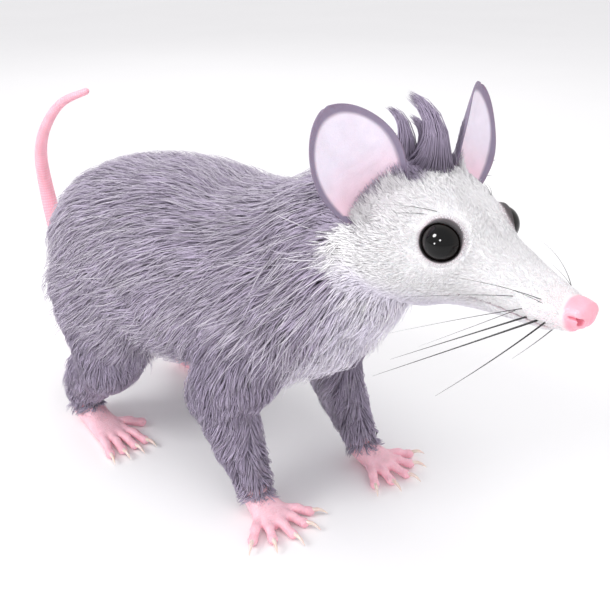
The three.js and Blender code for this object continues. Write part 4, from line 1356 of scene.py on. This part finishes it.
# Where each whisker grows on the head, its length and its radius at the root.
WHISKERS = [
    (126, 6.5, -1.5, 58, 0.5),
    (122, 8.5, -2.5, 64, 0.52),
    (117, 9.8, -3.5, 52, 0.46),
    (115, 10.5, -1.0, 48, 0.2),
    (120, 8.8, 0.8, 40, 0.18),
    (125, 7.2, 1.0, 26, 0.16),
    (112, 11.5, -3.0, 38, 0.18),
    (110, 11.0, 0.8, 40, 0.18),
    (66, 17, 24, 24, 0.16),
    (63, 20, 22, 20, 0.15),
]


def whiskers():
    rng = np.random.default_rng(31)
    tubes = []
    share = np.linspace(0, 1, 14)
    for side in (1, -1):
        for x, y, z, length, radius in WHISKERS:
            root, _ = dropped(np.array([[x, side * y, z]], float), 0, 4)
            slope = head_grid.slope(head_field, root)[0]
            heading = unit(slope * 0.75 + np.array([-0.95, side * 0.25, -0.28]))
            heading = unit(heading + rng.normal(size=3) * 0.05)
            sag = np.array([-0.25, 0, -0.22]) * length
            path = root - slope * 0.8 + heading * (share * length)[:, None] + sag * (share**2)[:, None]
            tubes.append(tube(on_head(path), radius * (1 - 0.9 * share)))
    return gathered("whiskers", tubes)


def make_claws(limbs):
    return gathered("claws", (limb.mesh(rings=14, sides=12, dome_steps=3) for limb in limbs))


class Nodes:
    """A material's node tree, with short ways to add to it."""

    def __init__(self, name):
        self.material = bpy.data.materials.new(name)
        self.material.use_nodes = True
        self.tree = self.material.node_tree
        self.shader = self.tree.nodes["Principled BSDF"]

    def add(self, kind, **values):
        node = self.tree.nodes.new(kind)
        for name, value in values.items():
            setattr(node, name, value)
        return node

    def link(self, output, socket):
        self.tree.links.new(output, socket)

    def paint(self, output):
        """Takes the base colour from an output."""
        self.link(output, self.shader.inputs["Base Color"])

    def plain(self, tint):
        node = self.add("ShaderNodeRGB")
        node.outputs[0].default_value = (*tint, 1)
        return node.outputs[0]

    def between(self, factor, low, high):
        """A colour between two, at a share."""
        node = self.add("ShaderNodeMix", data_type="RGBA")
        self.link(factor, node.inputs["Factor"])
        node.inputs["A"].default_value = (*low, 1)
        node.inputs["B"].default_value = (*high, 1)
        return node.outputs["Result"]

    def set(self, **values):
        for name, value in values.items():
            self.shader.inputs[name.replace("_", " ")].default_value = value

    def noise(self, scale, detail=4.0, roughness=0.55):
        node = self.add("ShaderNodeTexNoise")
        node.inputs["Scale"].default_value = scale
        node.inputs["Detail"].default_value = detail
        node.inputs["Roughness"].default_value = roughness
        self.link(self.object_place(), node.inputs["Vector"])
        return node.outputs["Fac"]

    def object_place(self):
        return self.add("ShaderNodeTexCoord").outputs["Object"]

    def cells(self, scale):
        node = self.add("ShaderNodeTexVoronoi", feature="F1")
        node.inputs["Scale"].default_value = scale
        self.link(self.object_place(), node.inputs["Vector"])
        return node.outputs["Distance"]

    def ranged(self, value, low, high, start=0.0, end=1.0):
        node = self.add("ShaderNodeMapRange")
        self.link(value, node.inputs["Value"])
        node.inputs["From Min"].default_value = start
        node.inputs["From Max"].default_value = end
        node.inputs["To Min"].default_value = low
        node.inputs["To Max"].default_value = high
        return node.outputs["Result"]

    def tint(self):
        return self.add("ShaderNodeAttribute", attribute_name="Tint").outputs["Color"]

    def level(self, name):
        return self.add("ShaderNodeAttribute", attribute_name=name).outputs["Fac"]

    def scaled(self, tint, factor):
        """The colour made lighter or darker by a factor."""
        node = self.add("ShaderNodeVectorMath", operation="SCALE")
        self.link(tint, node.inputs[0])
        self.link(factor, node.inputs["Scale"])
        return node.outputs["Vector"]

    def bump(self, height, strength, distance):
        node = self.add("ShaderNodeBump")
        node.inputs["Strength"].default_value = strength
        node.inputs["Distance"].default_value = distance
        self.link(height, node.inputs["Height"])
        self.link(node.outputs["Normal"], self.shader.inputs["Normal"])

    def plus(self, a, b, operation="ADD"):
        node = self.add("ShaderNodeMath", operation=operation)
        self.link(a, node.inputs[0])
        self.link(b, node.inputs[1])
        return node.outputs[0]


def fur_material(name, roughness, uneven):
    nodes = Nodes(name)
    factor = nodes.ranged(nodes.noise(55, 3), 1 - uneven, 1 + uneven, 0.3, 0.7)
    nodes.paint(nodes.scaled(nodes.tint(), factor))
    nodes.set(Roughness=roughness, Specular_IOR_Level=0.22, Sheen_Weight=0.05, Sheen_Roughness=0.45)
    return nodes.material


def skin_material(name, roughness, wrinkle, uneven):
    nodes = Nodes(name)
    mottle = nodes.ranged(nodes.noise(130, 5), 1 - uneven, 1 + uneven, 0.3, 0.7)
    nodes.paint(nodes.scaled(nodes.tint(), mottle))
    pores = nodes.cells(1500)
    creases = nodes.noise(420, 6, 0.65)
    rings = nodes.add("ShaderNodeTexWave", wave_type="BANDS", bands_direction="X")
    nodes.link(nodes.object_place(), rings.inputs["Vector"])
    rings.inputs["Scale"].default_value = 190
    rings.inputs["Distortion"].default_value = 3.5
    rings.inputs["Detail"].default_value = 2
    rings.inputs["Detail Scale"].default_value = 1.5
    folds = nodes.plus(rings.outputs["Fac"], nodes.level("Creased"), "MULTIPLY")
    nodes.bump(nodes.plus(nodes.plus(pores, creases), folds), wrinkle, 0.0004)
    wet = nodes.level("Wet")
    nodes.link(nodes.ranged(wet, roughness, 0.3), nodes.shader.inputs["Roughness"])
    nodes.set(Subsurface_Weight=0.16, Subsurface_Scale=0.003, Specular_IOR_Level=0.4)
    nodes.shader.inputs["Subsurface Radius"].default_value = (1.0, 0.4, 0.3)
    return nodes.material


def eye_material():
    nodes = Nodes("eye_gloss")
    nodes.paint(nodes.between(nodes.level("Pupil"), (0.004, 0.0025, 0.002), (0.0008, 0.0008, 0.001)))
    nodes.set(Roughness=0.04, Specular_IOR_Level=0.3)
    return nodes.material


def claw_material():
    nodes = Nodes("claw_horn")
    grain = nodes.ranged(nodes.noise(300, 3), 0, 1, 0.35, 0.65)
    nodes.paint(nodes.between(grain, colour("f3e4da"), colour("e6cdc2")))
    nodes.set(Roughness=0.32, Specular_IOR_Level=0.5, Subsurface_Weight=0.2, Subsurface_Scale=0.001)
    return nodes.material


def whisker_material():
    nodes = Nodes("whisker_hair")
    factor = nodes.ranged(nodes.noise(200, 2), 0.7, 1.3, 0.3, 0.7)
    nodes.paint(nodes.scaled(nodes.plain((0.008, 0.007, 0.008)), factor))
    nodes.set(Roughness=0.35)
    return nodes.material


def finish(piece, material, slot):
    piece.data.materials.clear()
    piece.data.materials.append(material)
    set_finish(piece, slot)
    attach(piece, "root")


def build_animal():
    bare = skin_material("bare_skin_finish", 0.5, 0.35, 0.09)
    head_piece, head_points, head_quads = head_skin()
    body_points, body_quads, inside = body_skin()
    skin_points, skin_quads = kept(body_points, body_quads, inside)
    body_piece = make_mesh("skin", skin_points, [skin_quads])
    reduced(body_piece, 0.2, np.full(len(skin_points), 0.3))
    feet, claws, foot_shapes = [], [], []
    for name in ("forefoot_left", "forefoot_right", "hindfoot_left", "hindfoot_right"):
        piece, limbs, foot_shape = foot_skin(name)
        feet.append(piece)
        claws += limbs
        foot_shapes.append(foot_shape)
    for piece in (body_piece, head_piece, *feet):
        tint, wet = skin_colour(places_of(piece))
        paint(piece, tint)
        measure(piece, "Wet", wet)
    skin = joined("skin", [body_piece, head_piece, *feet, tail_skin()])
    flesh = [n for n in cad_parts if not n.startswith(("ear", "eye"))]
    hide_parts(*flesh)
    finish(skin, bare, "bare_skin")

    ear_finish = skin_material("ear_skin_finish", 0.55, 0.25, 0.04)
    gloss = eye_material()
    for word in SIDES:
        finish(make_ear(word), ear_finish, "ear_skin")
        finish(make_eye(word), gloss, "eye")
    finish(make_claws(claws), claw_material(), "bare_skin")
    finish(whiskers(), whisker_material(), "coat")

    coat = Coat()
    long_coat(coat, body_points, body_quads, inside)
    guard_hairs(coat, body_points, body_quads, inside)
    face_coat(coat, head_points, head_quads)
    crown_tuft(coat)
    ear_tufts(coat)
    foot_fur(coat, foot_shapes)
    finishes = {
        "coat": fur_material("coat_fur", 0.62, 0.1),
        "leg_fur": fur_material("leg_fur_finish", 0.6, 0.1),
        "face_fur": fur_material("face_fur_finish", 0.65, 0.03),
    }
    for piece in coat.made:
        finish(piece, finishes[piece["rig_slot"]], piece["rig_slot"])


CAMERA_AZIMUTH = math.radians(43)
CAMERA_ELEVATION = math.radians(24)
CAMERA_DISTANCE = 0.55
CAMERA_TARGET = Vector((0.0532, 0.0226, 0.1116))
CAMERA_LENS = 51.3
CAMERA_BACK = Vector(
    (
        math.sin(CAMERA_AZIMUTH) * math.cos(CAMERA_ELEVATION),
        -math.cos(CAMERA_AZIMUTH) * math.cos(CAMERA_ELEVATION),
        math.sin(CAMERA_ELEVATION),
    )
)


def make_camera():
    data = bpy.data.cameras.new("camera")
    data.lens = CAMERA_LENS
    data.sensor_width = 36
    data.sensor_fit = "HORIZONTAL"
    camera = bpy.data.objects.new("camera", data)
    bpy.context.scene.collection.objects.link(camera)
    camera.location = CAMERA_TARGET + CAMERA_BACK * CAMERA_DISTANCE
    camera.rotation_euler = (-CAMERA_BACK).to_track_quat("-Z", "Y").to_euler()
    bpy.context.scene.camera = camera


def add_light(name, place, target, size, power, glint=False):
    """An area light that only shades the animal, or one that only shows as a glint on what is glossy."""
    data = bpy.data.lights.new(name, "AREA")
    data.shape, data.size, data.energy = "DISK", size, power
    light = bpy.data.objects.new(name, data)
    bpy.context.scene.collection.objects.link(light)
    light.visible_diffuse, light.visible_glossy = not glint, glint
    light.location = place
    light.rotation_euler = (Vector(target) - Vector(place)).to_track_quat("-Z", "Y").to_euler()


# The glints in the near eye: how far right and up as shares of its radius, and the lamp's width and power.
GLINTS = [(-0.42, 0.32, 0.32, 10.0), (-0.42, -0.1, 0.15, 2.2), (-0.12, 0.06, 0.15, 2.2)]
LAMP_DISTANCE = 0.85


def add_glints():
    """Round lamps, each where the near eye mirrors it to the camera as a glint."""
    eye = Vector((on_head(EYE * [1, -1, 1]) + SHIFT) * MM)
    back = (CAMERA_TARGET + CAMERA_BACK * CAMERA_DISTANCE - eye).normalized()
    right = Vector((math.cos(CAMERA_AZIMUTH), math.sin(CAMERA_AZIMUTH), 0))
    up = back.cross(right).normalized()
    for k, (across, rise, size, power) in enumerate(GLINTS):
        normal = back * math.sqrt(1 - across**2 - rise**2) + right * across + up * rise
        toward = 2 * normal.dot(back) * normal - back
        add_light(f"glint_{k}", eye + toward * LAMP_DISTANCE, eye, size, power, glint=True)


# The studio's lamps: place, target, width and power.
LAMPS = {
    "key": ((-0.35, -0.95, 0.85), (0.05, 0, 0.1), 0.6, 6),
    "overhead": ((0.3, -0.3, 1.7), (0.05, 0, 0.1), 1.0, 5),
    "front": ((1.4, -0.7, 0.6), (0.1, 0, 0.12), 1.0, 1.6),
    "rear": ((-1.1, 1.0, 1.2), (0, 0, 0.12), 0.8, 3),
}


def make_studio():
    nodes = Nodes("studio_floor")
    factor = nodes.ranged(nodes.noise(3, 2), 0.985, 1.0, 0.3, 0.7)
    nodes.paint(nodes.scaled(nodes.plain((0.97, 0.965, 0.97)), factor))
    nodes.set(Roughness=0.9, Specular_IOR_Level=0.1)
    bpy.ops.mesh.primitive_plane_add(size=8, location=(0, 0, -0.0002))
    floor = bpy.context.object
    floor.name = "studio_floor"
    floor.data.materials.append(nodes.material)
    world = bpy.data.worlds.new("studio")
    world.use_nodes = True
    background = world.node_tree.nodes["Background"]
    background.inputs["Color"].default_value = (0.97, 0.965, 0.98, 1)
    background.inputs["Strength"].default_value = 0.88
    bpy.context.scene.world = world
    add_glints()
    for name, lamp in LAMPS.items():
        add_light(name, *lamp)
    bpy.context.scene.view_settings.view_transform = "Standard"


build_animal()
make_camera()
make_studio()
